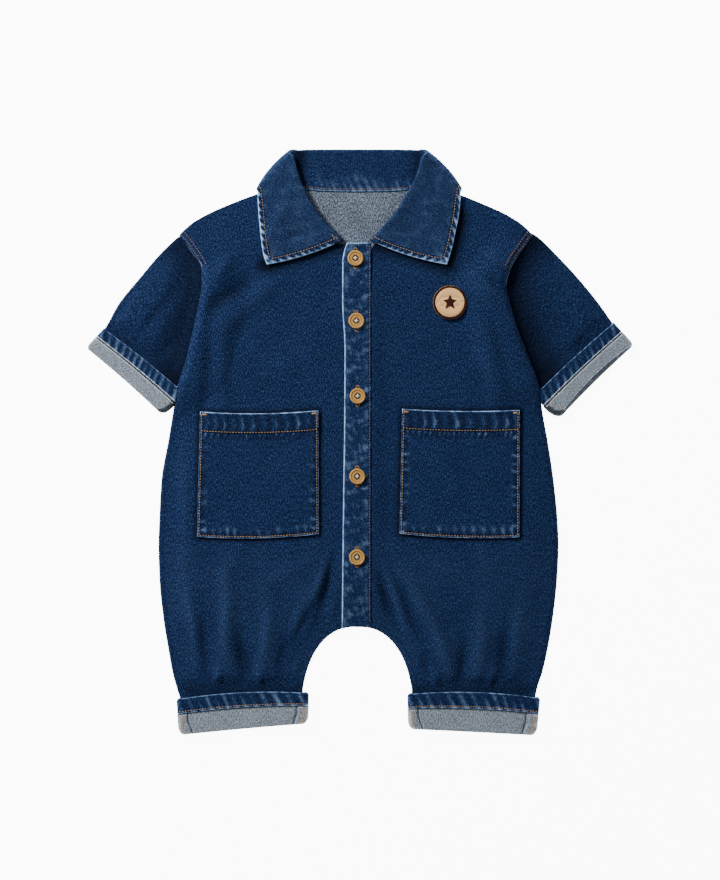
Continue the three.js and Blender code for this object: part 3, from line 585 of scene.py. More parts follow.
front_walls = {}
for side, edge in (("right", STAND_EDGE), ("left", PLACKET_RIGHT + GAP)):
    grid = panel_grid(side, NECK_SEAM[side], edge, 92, 0.52)
    x, y = grid[..., 0], grid[..., 1]
    near_side, near_arch = np.abs(side_distance(x, y)), np.abs(arch_distance(x, y))
    rolled = 0.45 * (1 - ramp(0, 2.4, np.minimum(near_side, near_arch))) * ramp(-212, -206, y)
    side_ridges, leg_ridges = puckers(y, near_side, 9, 3, 8) * (y < 134), puckers(x + y, near_arch, 8, 5, 7)
    step = placket_step(x, y) if side == "left" else 0
    height = front_base(x, y) + step + PLY / 2 + front_relief(x, y) - rolled
    height = height + 0.2 * (side_ridges + leg_ridges)
    lie = np.stack([x, y, height], axis=-1)
    low = 147 if side == "right" else 132
    at_armhole = ramp(low, low + 4, y) * (1 - ramp(176, 180, y))
    worn = 0.04 * side_ridges + 0.05 * leg_ridges + rubbed_edge(near_side, 0.6, 0.02 + 0.8 * at_armhole)
    # Painted shade: darker in the folds' troughs; a little paler on their ridges.
    folds = front_relief(x, y) / 2
    worn = worn + 0.28 * np.minimum(folds, 0) + 0.04 * np.clip(folds, 0, 1) + 0.03 * (1 - ramp(-110, -60, y))
    below_arm = 1 - ramp(20, 44, y)
    # Below the armhole: a pale edge at the side seam and a line of painted shade just inside it.
    beside_seam = np.exp(-((near_side - 2.8) / 1.1) ** 2)
    worn = worn + below_arm * (rubbed_edge(near_side, 0.8, 0.3) - 0.35 * beside_seam)
    worn = worn * ramp(-212, -204, y) * (np.abs(x - edge) > 0.5)
    # Painted shadow: darker beside the collar's edge, round the pocket and just above the leg cuff.
    worn = worn - 0.8 * (1 - ramp(2, 14, line_reach(x, y, COLLAR_EDGE[side])))
    worn = worn - 0.6 * (1 - ramp(0.5, 4.5, line_reach(x, y, pocket_outline(POCKETS[side]))))
    worn = worn - 0.45 * (1 - ramp(-212, -196, y)) * ramp(0, 10, near_side)
    front_walls[side] = cloth_wall(lie, PLY, grid, worn)
front_right = cloth_piece("front_panel_right", [front_walls["right"]], [denim, denim_inside])
front_left = cloth_piece("front_panel_left", [front_walls["left"]], [denim, denim_inside])
declare(front_right, "front_right")
declare(front_left, "front_left")


def surface_of(*pieces):
    """A finder of the highest or lowest point of these pieces at a place, and of its slope."""
    points, faces = [], []
    for piece in pieces:
        start = len(points)
        points += [vertex.co.copy() for vertex in piece.data.vertices]
        faces += [[start + corner for corner in face.vertices] for face in piece.data.polygons]
    tree = BVHTree.FromPolygons(points, faces)

    def find(x, y, up=1):
        hit, normal, _, _ = tree.ray_cast(Vector((x * MM, y * MM, up * 0.1)), Vector((0, 0, -up)))
        if hit is None:
            return None, None
        return np.array(hit) / MM, np.array(normal if normal.z * up > 0 else -normal)

    return find


def laid(path, find, step=1.0, up=1):
    """A plan line laid on a surface: its points there and the surface's slopes."""
    path = np.array(path, dtype=float)
    run = np.concatenate([[0], np.cumsum(np.linalg.norm(np.diff(path, axis=0), axis=1))])
    line, normals = [], []
    for distance in np.linspace(0, run[-1], max(int(run[-1] / step), 2)):
        x, y = (np.interp(distance, run, path[:, k]) for k in (0, 1))
        hit, normal = find(x, y, up)
        if hit is not None:
            line.append(hit)
            normals.append(normal)
    return np.array(line), np.array(normals)


def thread_material(name, colour, shade):
    """Twisted cotton sewing thread, darker in the turns of its twist."""
    material = bpy.data.materials.new(name)
    material.use_nodes = True
    tree = material.node_tree
    shader = tree.nodes["Principled BSDF"]
    place = shader_node(tree, "TexCoord").outputs["Object"]
    settings = {"bands_direction": "DIAGONAL"}
    twist = shader_node(tree, "TexWave", settings, Vector=place, Scale=900.0, Distortion=2.0).outputs["Fac"]
    speck = shader_node(tree, "TexNoise", None, Vector=place, Scale=700.0, Detail=2.0).outputs[0]
    share = maths(tree, "MULTIPLY_ADD", twist, 0.55, maths(tree, "MULTIPLY", speck, 0.5))
    tree.links.new(blend_colour(tree, share, (*shade, 1), (*colour, 1)), shader.inputs["Base Color"])
    raised = shader_node(tree, "Bump", None, Strength=0.5, Distance=0.1 * MM, Height=twist)
    tree.links.new(raised.outputs[0], shader.inputs["Normal"])
    shader.inputs["Roughness"].default_value = 0.7
    shader.inputs["Specular IOR Level"].default_value = 0.12
    return material


copper_thread = thread_material("copper topstitch thread", (0.62, 0.37, 0.14), (0.28, 0.15, 0.055))
brown_thread = thread_material("brown seam thread", (0.38, 0.21, 0.085), (0.16, 0.085, 0.035))
STITCH_RINGS = ((-1.0, 0.3, -0.6), (-0.7, 0.88, -0.05), (0.0, 1.0, 0.2), (0.7, 0.88, -0.05), (1.0, 0.3, -0.6))


def stitches(name, seams, thread, length=1.7, gap=0.75, radius=0.28):
    """Rows of lock stitches as one mesh. Each seam is a line of points with the cloth's slopes there,
    and each stitch a short swell of thread that dips into the cloth at both ends."""
    points, faces = [], []
    around = np.arange(6) * math.tau / 6
    for line, normals in seams:
        if len(line) < 2:
            continue
        run = np.concatenate([[0], np.cumsum(np.linalg.norm(np.diff(line, axis=0), axis=1))])
        at = lambda values, distance: np.array([np.interp(distance, run, values[:, k]) for k in range(3)])
        count = max(round(run[-1] / (length + gap)), 1)
        pitch = run[-1] / count
        for number in range(count):
            for share, swell, lift in STITCH_RINGS:
                distance = (number + 0.5) * pitch + share * (pitch - gap) / 2
                ahead = at(line, distance + 0.2) - at(line, distance - 0.2)
                ahead = ahead / max(np.linalg.norm(ahead), 1e-9)
                up = at(normals, distance)
                up = up - ahead * up.dot(ahead)
                up = up / max(np.linalg.norm(up), 1e-9)
                beside = np.cross(ahead, up)
                centre = at(line, distance) + up * radius * lift
                round_it = np.outer(np.sin(around), up) + np.outer(np.cos(around), beside)
                points.append((centre + radius * swell * round_it) * MM)
            first = len(points) * 6 - 30
            for one in range(first, first + 24):
                two = one + 1 if one % 6 != 5 else one - 5
                faces.append((one, two, two + 6, one + 6))
            faces += [tuple(range(first + 5, first - 1, -1)), tuple(range(first + 24, first + 30))]
    mesh = bpy.data.meshes.new(name)
    mesh.from_pydata(np.concatenate(points).tolist(), [], faces)
    mesh.materials.append(thread)
    mesh.polygons.foreach_set("use_smooth", np.ones(len(faces), dtype=bool))
    piece = bpy.data.objects.new(name, mesh)
    bpy.context.scene.collection.objects.link(piece)
    declare(piece)
    return piece


ARMHOLE = {
    "right": [(-153.4, 176.6), (-148.0, 170.0), (-141.5, 160.6), (-136.2, 152.0), (-134.8, 149.0)],
    "left": [(147.2, 177.0), (143.5, 172.0), (137.8, 164.0), (132.0, 155.5), (127.5, 147.0)],
}
find_front = surface_of(front_right, front_left)
armhole_seams = []
for side, points in ARMHOLE.items():
    for inset in (1.7, 5.2):
        shift = np.array([-SIDES[side] * 0.85, 0.5]) * inset
        armhole_seams.append(laid(follow(points, np.linspace(0, 1, 24)) + shift, find_front))
stitches("armhole_stitches", armhole_seams, brown_thread)

# The patch pockets: a square of denim each, its top turned in and stitched as a hem, its other edges
# turned under, topstitched to the front in copper thread, with a bar tack across each upper corner.
POCKET_SIZE = (102.0, 107.0)
POCKET_HEM = 17.6
TURNED = 1.9

pocket_seams, pocket_tacks = [], []
for seed, (side, shape) in enumerate(POCKETS.items()):
    pocket_point = lambda u, v, shape=shape: pocket_place(shape, u, v)
    width, length = POCKET_SIZE
    u = edge_spaced(80, width)[None, :]
    v = edge_spaced(86, length)[:, None]
    grid = pocket_point(u, v)
    x, y = grid[..., 0], grid[..., 1]
    across, down = u * width, v * length
    to_side = np.minimum(across, width - across) + 0 * down
    to_foot, to_top, to_hem = length - down + 0 * across, down + 0 * across, down - POCKET_HEM + 0 * across
    to_edge = np.minimum(np.minimum(to_side, to_foot), to_top)
    hem = 1 - ramp(-0.2, 0.9, to_hem)
    hem_ridges = puckers(across, np.maximum(to_hem, 0), 4.6, 11 + seed, 7, 0.3) * (to_hem > 0)
    band_ridges = puckers(across, np.abs(to_hem + 7), 9.0, 13 + seed, 22, 0.3) * (to_hem < 0)
    foot_ridges = puckers(across, to_foot, 7.4, 15 + seed, 11, 0.15) * (to_foot > 1.2)
    side_ridges = puckers(down, to_side, 8.0, 17 + seed, 8, 0.25) * (to_hem > 4) * (to_side > 1.2)
    ridges = 1.1 * hem_ridges + 0.8 * band_ridges + foot_ridges + 1.3 * side_ridges
    sewn = np.exp(-((to_edge - TURNED) / 0.6) ** 2) * (to_top > 3) + np.exp(-((to_hem + 1) / 0.7) ** 2)
    thick = PLY + 0.7 * hem
    relief = 0.4 * ridges - 0.35 * np.minimum(sewn, 1) + 0.12 * wave(x * 2, y * 2, 31)
    lie = np.stack([x, y, front_top(x, y) + GAP + thick / 2 + relief + 0.25], axis=-1)
    uneven = 0.8 + 0.4 * wave(x * 7, y * 7, 23 + seed)
    beaded = np.maximum(hem, 1 - ramp(4, 7, np.minimum(np.minimum(to_side, to_foot), np.abs(to_hem))))
    hollows = beaded * ramp(0.8, 1.8, to_edge) * (1 - np.minimum(ridges, 1))
    edge_wear = 0.54 + 0.4 * (to_top < 3) + 0.24 * (to_foot < 3)
    # The cut edge's outer rim is darkened as painted shade.
    worn = rubbed_edge(to_edge - 0.65, 0.42, edge_wear) * uneven - 0.8 * (1 - ramp(0.1, 0.4, to_edge))
    # Painted shade in the hollows between the beads and ridges.
    worn = worn + 0.56 * ridges * (to_edge > 1.2) * (0.6 + 0.4 * uneven) - 0.45 * hollows
    # Painted shade beside the stitch lines.
    by_thread = np.maximum(np.exp(-(to_edge - TURNED) ** 2) * (to_top > 3), np.exp(-(to_hem + 1) ** 2))
    worn = worn + 0.08 * blotches(x, y, 27 + seed) * hem - 0.5 * by_thread
    wall = cloth_wall(lie, thick, grid + (11, 7), worn)
    pocket = cloth_piece(f"patch_pocket_{side}", [wall], [denim, denim_inside])
    declare(pocket, f"pocket_{side}")
    find = surface_of(pocket)
    inner = TURNED / width
    low = 1 - TURNED / length
    hem_v = (POCKET_HEM - 1.0) / length
    corner_v = 2.6 / length
    steps = np.linspace(0, 1, 40)
    down_line = corner_v + (low - corner_v) * steps
    edges = [pocket_point(inner, down_line), pocket_point(1 - inner, down_line),
             pocket_point(inner + (1 - 2 * inner) * steps, low), pocket_point(0.01 + 0.98 * steps, hem_v)]
    pocket_seams += [laid(edge, find) for edge in edges]
    for start, end in ((0.016, 0.062), (0.984, 0.938)):
        for row in (-0.25, 0.25):
            tack = pocket_point(np.array([start, end]), corner_v + row / length)
            pocket_tacks.append(laid(tack, find, 0.5))
stitches("pocket_stitches", pocket_seams, copper_thread)
stitches("pocket_bar_tacks", pocket_tacks, copper_thread, 4.2, 0.2, 0.42)

# The placket: the left front's edge folded into a band two plies thick, lapped over the right front
# and stitched down its seam side. Five buttonholes are worked along it in brown thread.
PLACKET_TOP = 170.0
PLACKET_THICK = 2.0
PLACKET_STITCH = 1.3
PLACKET_LEFT = [
    (170.3, -10.8), (164.0, -13.0), (153.8, -14.8), (121.5, -14.9), (79.0, -12.9), (19.6, -13.2),
    (-48.4, -14.1), (-154.7, -15.3),
]
BUTTONS = [(-3.6, 156.8), (-2.8, 103.7), (-1.8, 39.9), (-2.1, -28.3), (-2.3, -96.8)]
BUTTONHOLE = {"reach": 7.6, "slit": 0.55, "worked": 1.75}

placket_edge = through(PLACKET_LEFT)
u = edge_spaced(20, 24.0)[None, :]
foot = arch_height(-15.3 + 25 * u - MIDDLE)
v = edge_spaced(300, 328.0)[:, None]
y = PLACKET_TOP + (foot - PLACKET_TOP) * v
x = placket_edge(y) + (PLACKET_RIGHT - placket_edge(y)) * u
to_fold, to_seam, to_top = x - placket_edge(y), PLACKET_RIGHT - x, PLACKET_TOP - y
fold_ridges, seam_ridges = puckers(y, to_fold, 9.5, 41, 10, 0.5), puckers(y, to_seam, 6.8, 43, 9, 0.4)
ridges = 0.6 * fold_ridges + 0.9 * seam_ridges
sewn = np.exp(-((to_seam - PLACKET_STITCH) / 0.6) ** 2)
relief = 0.38 * ridges - 0.35 * sewn + 0.22 * wave(x * 3.2, y * 2.6, 45)
for hole_x, hole_y in BUTTONS:
    relief = relief - 0.3 * np.exp(-((x - hole_x) / 4) ** 2 - ((y - hole_y) / 9) ** 2)
height = front_top(np.minimum(x, PLACKET_RIGHT), y) + GAP + PLACKET_THICK / 2 + relief
uneven = 0.9 + 0.4 * wave(x * 8, y * 8, 47)
worn = rubbed_edge(to_fold, 0.85, 1.2) * uneven + rubbed_edge(to_top, 0.7, 0.9)
worn = worn + (0.34 * ridges - 0.02 + 0.22 * blotches(x, y, 49, 6.0)) * ramp(1, 2.5, to_fold)
# Painted shade beside the seam's stitch line.
worn = worn - 0.4 * np.exp(-(to_seam - PLACKET_STITCH) ** 2)
wall = cloth_wall(np.stack([x, y, height], axis=-1), PLACKET_THICK, np.stack([x + 31, y + 5], axis=-1), worn)
placket = cloth_piece("placket_band", [wall], [denim])
declare(placket, "placket")

find_placket = surface_of(placket)
seam_line = [(PLACKET_RIGHT - PLACKET_STITCH + 0.12 * math.sin(down / 9), down)
             for down in np.arange(168, -154, -4.0)]
stitches("placket_stitches", [laid(seam_line, find_placket)], brown_thread)
hole_threads = []
for hole_x, hole_y in BUTTONS:
    reach, slit, worked = (BUTTONHOLE[name] for name in ("reach", "slit", "worked"))
    for end in (1, -1):
        for degrees in range(-84, 85, 12):
            turn = math.radians(degrees)
            ray = np.array([math.sin(turn), end * math.cos(turn)])
            centre = np.array([hole_x, hole_y + end * reach])
            hole_threads.append(laid([centre + ray * slit, centre + ray * worked], find_placket, 0.6))
        for along in np.arange(0.5, reach, 0.55):
            for across in (-1, 1):
                inner = (hole_x + across * slit, hole_y + end * along)
                hole_threads.append(laid([inner, (hole_x + across * worked, inner[1])], find_placket, 0.6))
stitches("buttonhole_stitches", hole_threads, brown_thread, 1.2, 0.05, 0.26)

# The sleeves: a short set-in tube of denim each, pressed flat, whose head is sewn into the armhole
# between the front and the back. The lower end runs down inside its turned-up cuff.
SLEEVES = {  # x and y of the upper fold and of the underarm fold, and the bow of the line between them
    "right": [
        (-141.0, 184.0, -122.0, 74.0, 12), (-155.8, 174.4, -131.0, 68.0, 7), (-170.4, 160.6, -138.0, 62.0, 3),
        (-187.6, 140.3, -145.0, 56.5, 0), (-204.9, 119.2, -149.4, 49.8, 0), (-217.4, 97.0, -156.4, 44.6, 0),
        (-228.9, 83.3, -167.0, 31.0, 0),
    ],
    "left": [
        (136.0, 184.0, 117.0, 72.0, -12), (150.0, 176.6, 127.0, 66.0, -7), (170.9, 156.6, 135.0, 60.0, -3),
        (188.1, 137.9, 142.0, 55.0, 0), (205.1, 116.8, 147.0, 48.0, 0), (215.4, 101.9, 153.4, 42.4, 0),
        (228.6, 84.9, 169.4, 27.9, 0),
    ],
}
CUFFS = {  # the upper edge and the folded foot, each between two ends, their bows, and the height over all
    "sleeve_cuff_right": {"top": [(-217.8, 97.3), (-155.6, 47.8)], "foot": [(-232.9, 81.0), (-169.0, 24.6)],
                          "bows": (1.0, 1.0), "height": 5.9},
    "sleeve_cuff_left": {"top": [(216.1, 102.4), (153.3, 45.0)], "foot": [(233.4, 83.2), (171.0, 21.8)],
                         "bows": (-1.0, -1.0), "height": 5.9},
    "leg_cuff_right": {"top": [(-155.9, -218.0), (-43.3, -212.6)],
                       "foot": [(-153.8, -248.6), (-44.2, -238.6)], "bows": (3.4, 0.4), "height": 5.7},
    "leg_cuff_left": {"top": [(40.5, -213.6), (153.5, -217.0)], "foot": [(41.6, -243.3), (150.2, -248.8)],
                      "bows": (3.6, 0.1), "height": 5.7},
}
SLEEVE_CREASES = [
    (-166, 98, 50, 32, 8, 1.6), (-176, 106, 56, 30, 6, -1.4), (-158, 84, 42, 18, 5, -1.4),
    (-190, 122, 66, 22, 8, 1.0), (-162, 142, 76, 26, 8, 0.9), (-203, 102, 44, 14, 5, 1.2),
    (-184, 84, 70, 14, 4, 1.0), (-196, 92, 64, 12, 4, -1.0), (168, 98, 130, 32, 8, 1.6),
    (178, 108, 124, 30, 6, -1.4), (158, 84, 138, 18, 5, -1.4), (188, 126, 112, 20, 8, 1.0),
    (158, 146, 100, 26, 8, 0.9), (202, 104, 136, 14, 5, 1.2), (184, 86, 112, 14, 4, 1.0),
    (196, 94, 118, 12, 4, -1.0),
]


def flat_loop(start, end, bow, half, inset, across=40, turns=7):
    """A tube pressed flat between two folds, as a loop from the middle of its underside: each point's
    plan place, its level from -1 below to 1 above, and its distance from the first fold."""
    start, end = np.array(start, dtype=float), np.array(end, dtype=float)
    span = np.linalg.norm(end - start)
    ahead = (end - start) / span
    beside = np.array([-ahead[1], ahead[0]])
    near, far = inset + half, span - inset - half
    steps = np.linspace(0, 1, across)
    bend = np.radians(np.linspace(-90, 90, turns + 2)[1:-1])
    middle = (near + far) / 2
    out, back_in = middle + (far - middle) * steps, near + (middle - near) * steps[:-1]
    upper = far + (near - far) * np.linspace(0, 1, 2 * across)
    distance = np.concatenate([out, far + half * np.cos(bend), upper, near - half * np.cos(bend), back_in])
    level = np.concatenate([-np.ones(across), np.sin(bend), np.ones(2 * across), -np.sin(bend),
                            -np.ones(across - 1)])
    share = distance / span
    bulge = bow * 4 * share * (1 - share)
    return start + distance[:, None] * ahead + bulge[:, None] * beside, level, distance


def line_distance(x, y, ends):
    """How far a point lies to the left of the line between two ends."""
    (ax, ay), (bx, by) = ends
    return ((bx - ax) * (y - ay) - (by - ay) * (x - ax)) / math.hypot(bx - ax, by - ay)


def loop_grain(plan, heights):
    """The cloth's own measure over rows of loops: round each loop, and down the rows."""
    steps = np.linalg.norm(np.diff(np.concatenate([plan, heights[..., None]], axis=-1), axis=1), axis=-1)
    around = np.concatenate([np.zeros((len(plan), 1)), np.cumsum(steps, axis=1)], axis=1)
    rows = np.linalg.norm(np.diff(plan, axis=0), axis=-1).mean(axis=1)
    down = np.concatenate([[0], np.cumsum(rows)])[:, None] + 0 * around
    return np.stack([around - around[:, -1:] / 2, down], axis=-1)


sleeves = {}
for side, stations in SLEEVES.items():
    places = np.arange(len(stations))
    station = [through(np.column_stack([places, np.array(stations)[:, k]])) for k in range(5)]
    loops = []
    for place in edge_spaced(56, 90.0) * (len(stations) - 1):
        fold_x, fold_y, under_x, under_y, bow = (float(curve(place)) for curve in station)
        loops.append(flat_loop((fold_x, fold_y), (under_x, under_y), bow, 0.85, 0.6))
    plan, level, distance = (np.stack(values) for values in zip(*loops))
    x, y = plan[..., 0], plan[..., 1]
    cuff_top = CUFFS[f"sleeve_cuff_{side}"]["top"]
    above_cuff = np.abs(line_distance(x, y, cuff_top)) * (line_distance(x, y, cuff_top) * SIDES[side] < 0)
    outside = -side_distance(x, y) + 300 * (y > 176.8)
    lowered = LAYER * ramp(1, 10, outside) * ramp(1, 9, above_cuff)
    to_fold = np.minimum(distance, distance.max(axis=1, keepdims=True) - distance)
    free = ramp(2, 16, outside) * ramp(1, 14, above_cuff)
    rise = ramp(4, 68, outside) if side == "right" else ramp(24, 66, outside)
    puff = ramp(0, 30, to_fold) * (0.3 + 3.6 * rise + 0.3 * wave(x, y, 51))
    puff = free * (puff + 0.8 * ramp(0, 12, to_fold) * creases(SLEEVE_CREASES, x, y))
    low = LAYER + PLY / 2 - lowered
    high = low + 1.7 + np.maximum(puff, 0)
    height = (low + high) / 2 + level * (high - low) / 2
    lie = np.concatenate([plan, height[..., None]], axis=-1)
    wear_and_shade = 0.16 * np.exp(-(to_fold / 2.0) ** 2) * ramp(0, 4, outside)
    # Painted shade: darker beside the body and just above the cuff.
    body_shade, spread = (0.55, 40) if side == "right" else (0.7, 42)
    wear_and_shade = wear_and_shade - body_shade * (1 - ramp(0, spread, outside)) - 0.25 * (1 - ramp(0, 18, above_cuff)) - 0.06
    wall = cloth_wall(lie, PLY, loop_grain(plan, height), wear_and_shade, cyclic=True)
    sleeves[side] = cloth_piece(f"sleeve_tube_{side}", [wall], [denim, denim_inside])
    declare(sleeves[side], f"sleeve_{side}")

# The turned-up cuffs on the sleeves and legs: the tube's end folded out over itself, so that the pale
# wrong side shows, and over it the hem, a band of the right side two plies thick, roped by its stitches.
# Each is folded back in at its foot. On the legs the seam allowances lie at both ends, overlocked in tan.
HEM_SHARE = 0.41
HEM_RISE = 0.8
CORNERS = {"sleeve": (0.6, 5.0), "leg": (2.6, 7.0)}
FOOT_SHORT = {"sleeve_cuff_left": 4.6, "sleeve_cuff_right": 0.0, "leg_cuff_left": 0.0, "leg_cuff_right": 0.0}
END_BULGE = 4.6
END_REACH = 2.4
HEM_STITCH = 1.7
TURN_RADIUS = 0.65
TURNED_IN = 7.0

overlock_thread = thread_material("white overlock thread", (0.95, 1.0, 1.0), (0.72, 0.76, 0.78))
tan_thread = thread_material("tan overlock thread", (0.74, 0.46, 0.18), (0.40, 0.22, 0.08))


def cuff_depth(cuff):
    tops, feet = np.array(cuff["top"]), np.array(cuff["foot"])
    return float(np.linalg.norm(feet - tops, axis=1).mean())


def corner_inset(at, depth, corners):
    """How far a cuff's end draws in at its rounded upper and lower corner."""
    inset = 0.0
    for radius, reach in ((corners[0], at * depth), (corners[1], (1 - at) * depth)):
        short = min(max(1 - reach / radius, 0), 1)
        inset += radius * (1 - math.sqrt(max(1 - short * short, 0))) * 0.8
    return inset


def cuff_ends(name, at):
    """Both ends of a cuff at a share of its depth; a sleeve cuff's inner end swells towards the body."""
    tops, feet = np.array(CUFFS[name]["top"]), np.array(CUFFS[name]["foot"])
    start, end = tops + (feet - tops) * at
    if name.startswith("sleeve"):
        swell = END_BULGE * 4 * at * (1 - at) + END_REACH * (1 - at)
        end = end + (end - start) / np.linalg.norm(end - start) * swell
    return start, end


def cuff_rows(name, rows, wider=0.0):
    """Loops of a cuff: each row has its share of the depth, and how far it lies below the outer face."""
    cuff, short = CUFFS[name], FOOT_SHORT[name]
    tops, feet = np.array(cuff["top"]), np.array(cuff["foot"])
    depth, corners = cuff_depth(cuff), CORNERS[name.split("_")[0]]
    drop = (feet - tops).mean(axis=0) / depth
    plans, levels, distances = [], [], []
    for at, inner in rows:
        start, end = cuff_ends(name, at)
        bow = cuff["bows"][0] + (cuff["bows"][1] - cuff["bows"][0]) * at
        half = cuff["height"] / 2 - inner
        inset = inner - wider + corner_inset(min(at, 1), depth, corners)
        plan, level, distance = flat_loop(start, end, bow, half, inset, 56)
        span = np.linalg.norm(end - start)
        fade = np.clip(4 * distance / span * (1 - distance / span), 0, 1) ** 0.5
        shift = short * ramp(0.35, 1, at) * ramp(-0.2, 1, level) * fade
        plans.append(plan - drop * shift[:, None])
        levels.append(level)
        distances.append(distance)
    return np.stack(plans), np.stack(levels), np.stack(distances)


def cuff_point(name, across, at):
    """A plan point on a cuff, by shares of its width and depth."""
    cuff = CUFFS[name]
    start, end = cuff_ends(name, at)
    ahead = (end - start) / np.linalg.norm(end - start)
    bow = cuff["bows"][0] + (cuff["bows"][1] - cuff["bows"][0]) * at
    return start + (end - start) * across + np.array([-ahead[1], ahead[0]]) * bow * 4 * across * (1 - across)


copper_seams, edge_seams, overlock = [], [], []
for seed, (name, cuff) in enumerate(CUFFS.items()):
    on_leg = name.startswith("leg")
    depth, height = cuff_depth(cuff), cuff["height"]
    hem_at = edge_spaced(14, depth * HEM_SHARE) * HEM_SHARE
    plan, level, distance = cuff_rows(name, [(at, PLY / 2) for at in hem_at])
    to_top = (hem_at * depth)[:, None] + 0 * level
    to_low = ((HEM_SHARE - hem_at) * depth)[:, None] + 0 * level
    run = distance + (level < 0) * 0.7
    ridges = puckers(run, to_low, 8.6 if on_leg else 7.0, 61 + seed, 20, 0.45)
    loops = puckers(run, to_top, 8.6 if on_leg else 7.0, 61 + seed, 5, 0.9)
    thick = PLY + HEM_RISE * (level + 1) / 2
    middle = (height + HEM_RISE * (level + 1) / 2) / 2
    reach = (height - PLY) / 2 + 0.0 * level
    sewn = np.exp(-((to_low - HEM_STITCH) / 0.6) ** 2)
    bulk = 0.6 * (ridges - 0.3) * (level > -0.5) - 0.35 * sewn * (level > 0)
    heights = middle + level * reach + bulk * np.maximum(level, 0)
    lie = np.concatenate([plan, heights[..., None]], axis=-1)
    uneven = 0.8 + 0.4 * wave(plan[..., 0] * 7, plan[..., 1] * 7, 65 + seed)
    worn = (0.8 * ridges - 0.28) * uneven + rubbed_edge(to_top, 0.5, 0.5) + 0.2 * loops
    worn = worn + rubbed_edge(to_low, 0.5, 1.0)
    hem = cloth_piece(f"{name}_hem", [cloth_wall(lie, thick, loop_grain(plan, heights), worn, cyclic=True)],
                      [denim, denim_inside])

    turn = np.radians(np.linspace(0, 180, 9)[1:])
    centre = 1 - (TURN_RADIUS + PLY / 2) / depth
    gap_share = 0.12 / depth
    below = HEM_SHARE + gap_share
    out_at = below + (centre - below) * np.concatenate([[0, 0.01, 0.03, 0.06], np.linspace(0.1, 1, 16)])
    rows = [(at, PLY / 2) for at in out_at]
    rows += [(centre + TURN_RADIUS * math.sin(t) / depth, PLY / 2 + TURN_RADIUS * (1 - math.cos(t)))
             for t in turn]
    inwards = (1.2, 2.6, 4.0, 5.4, 6.3, 6.7, TURNED_IN)
    rows += [(centre - inward / depth, PLY / 2 + 2 * TURN_RADIUS) for inward in inwards]
    plan, level, distance = cuff_rows(name, rows, 0.4)
    inner = np.array([row[1] for row in rows])[:, None]
    soft = 0.18 * wave(plan[..., 0] * 2.4, plan[..., 1] * 2.4, 71 + seed) * np.maximum(level, 0)
    heights = height / 2 + level * (height / 2 - inner) + soft
    outer_rows = (np.arange(len(rows)) < len(out_at) + 3)[:, None]
    if on_leg:
        width_here = np.linalg.norm(np.subtract(*cuff["foot"]))
        from_end = np.minimum(distance, width_here - distance)
        gap_at = 8.3 + 3.4 * ramp(0.55, 1.0, np.array([row[0] for row in rows])[:, None])
        heights = heights - 1.7 * np.exp(-((from_end - gap_at) / 0.8) ** 2) * (level > 0.9) * outer_rows
    lie = np.concatenate([plan, heights[..., None]], axis=-1)
    from_inner = distance.max(axis=1, keepdims=True) - distance
    ragged = from_inner + 0.4 * wave(plan[..., 0] * 9, plan[..., 1] * 9, 77)
    # Painted shade at the sleeve cuff's inner end, and a painted shadow line just under the hem.
    shade = 0.0 if on_leg else -0.8 * (1 - ramp(3.4, 4.4, ragged))
    below_hem = (np.array([row[0] for row in rows])[:, None] - HEM_SHARE) * depth
    shade = shade - 0.85 * (1 - ramp(0.7, 1.5, below_hem)) * (level > 0) * outer_rows
    turned_wall = cloth_wall(lie, PLY, loop_grain(plan, heights), shade, cyclic=True)
    turned = cloth_piece(f"{name}_turned", [turned_wall], [denim_inside, denim])
    around = 2 * np.linalg.norm(np.subtract(*cuff["top"])) * MM
    declare(turned, name)
    declare(hem, None)

    find_hem, find_turned = surface_of(hem), surface_of(turned)
    if on_leg:
        seam_at = HEM_SHARE - HEM_STITCH / depth
        seam = [cuff_point(name, across, seam_at) for across in np.linspace(0.012, 0.988, 50)]
        copper_seams.append(laid(seam, find_hem))
    else:
        for at, find in ((HEM_SHARE - 0.55 / depth, find_hem), (HEM_SHARE + 2.0 / depth, find_turned)):
            edge = [cuff_point(name, across, at) for across in np.linspace(0.014, 0.986, 50)]
            edge_seams.append(laid(edge, find))
        span = np.linalg.norm(np.subtract(*cuff["top"]))
        bar = [cuff_point(name, 1 - 5.4 / span, HEM_SHARE + 0.1), cuff_point(name, 1 - 8.2 / span, 0.93)]
        copper_seams.append(laid(bar, find_turned))
        continue
    width = float(np.linalg.norm(np.subtract(*cuff["foot"])))
    for end in (0, 1):
        u, v = edge_spaced(7, 9.0)[None, :], edge_spaced(12, 17.0)[:, None]
        flap = np.zeros((v.size, u.size, 3))
        for i, at in enumerate(HEM_SHARE + 0.03 + (0.955 - HEM_SHARE - 0.03) * v[:, 0]):
            inset = 1.6 + corner_inset(at, depth, CORNERS["leg"])
            reach = 7.8 + 3.2 * ramp(0.6, 1.0, at)
            for j, share in enumerate(u[0]):
                across = (inset + (reach - inset) * share) / width
                spot = cuff_point(name, across if end == 0 else 1 - across, at)
                hit, _ = find_turned(*spot)
                flap[i, j] = (*spot, (hit[2] if hit is not None else height) + 0.55)
        wall = cloth_wall(flap, 0.8, flap[..., :2] + 3, rubbed_edge(edge_reach(flap), 0.8, 0.3))
        allowance = cloth_piece(f"{name}_allowance_{end + 1}", [wall], [denim_inside])
        declare(allowance, None)
        find_flap = surface_of(allowance)
        for at in np.linspace(HEM_SHARE + 0.06, 0.93, 10):
            inset = 2.4 + corner_inset(at, depth, CORNERS["leg"])
            ends = [cuff_point(name, abs(end - reach / width), at + shift)
                    for reach, shift in ((inset, 0.0), (inset + 2.4, 0.035))]
            overlock.append(laid(ends, find_flap, 0.5))
stitches("leg_cuff_stitches", copper_seams, copper_thread)
stitches("sleeve_cuff_stitches", edge_seams, overlock_thread, 1.6, 0.35, 0.3)
stitches("leg_cuff_overlock", overlock, tan_thread, 2.2, 0.1, 0.3)

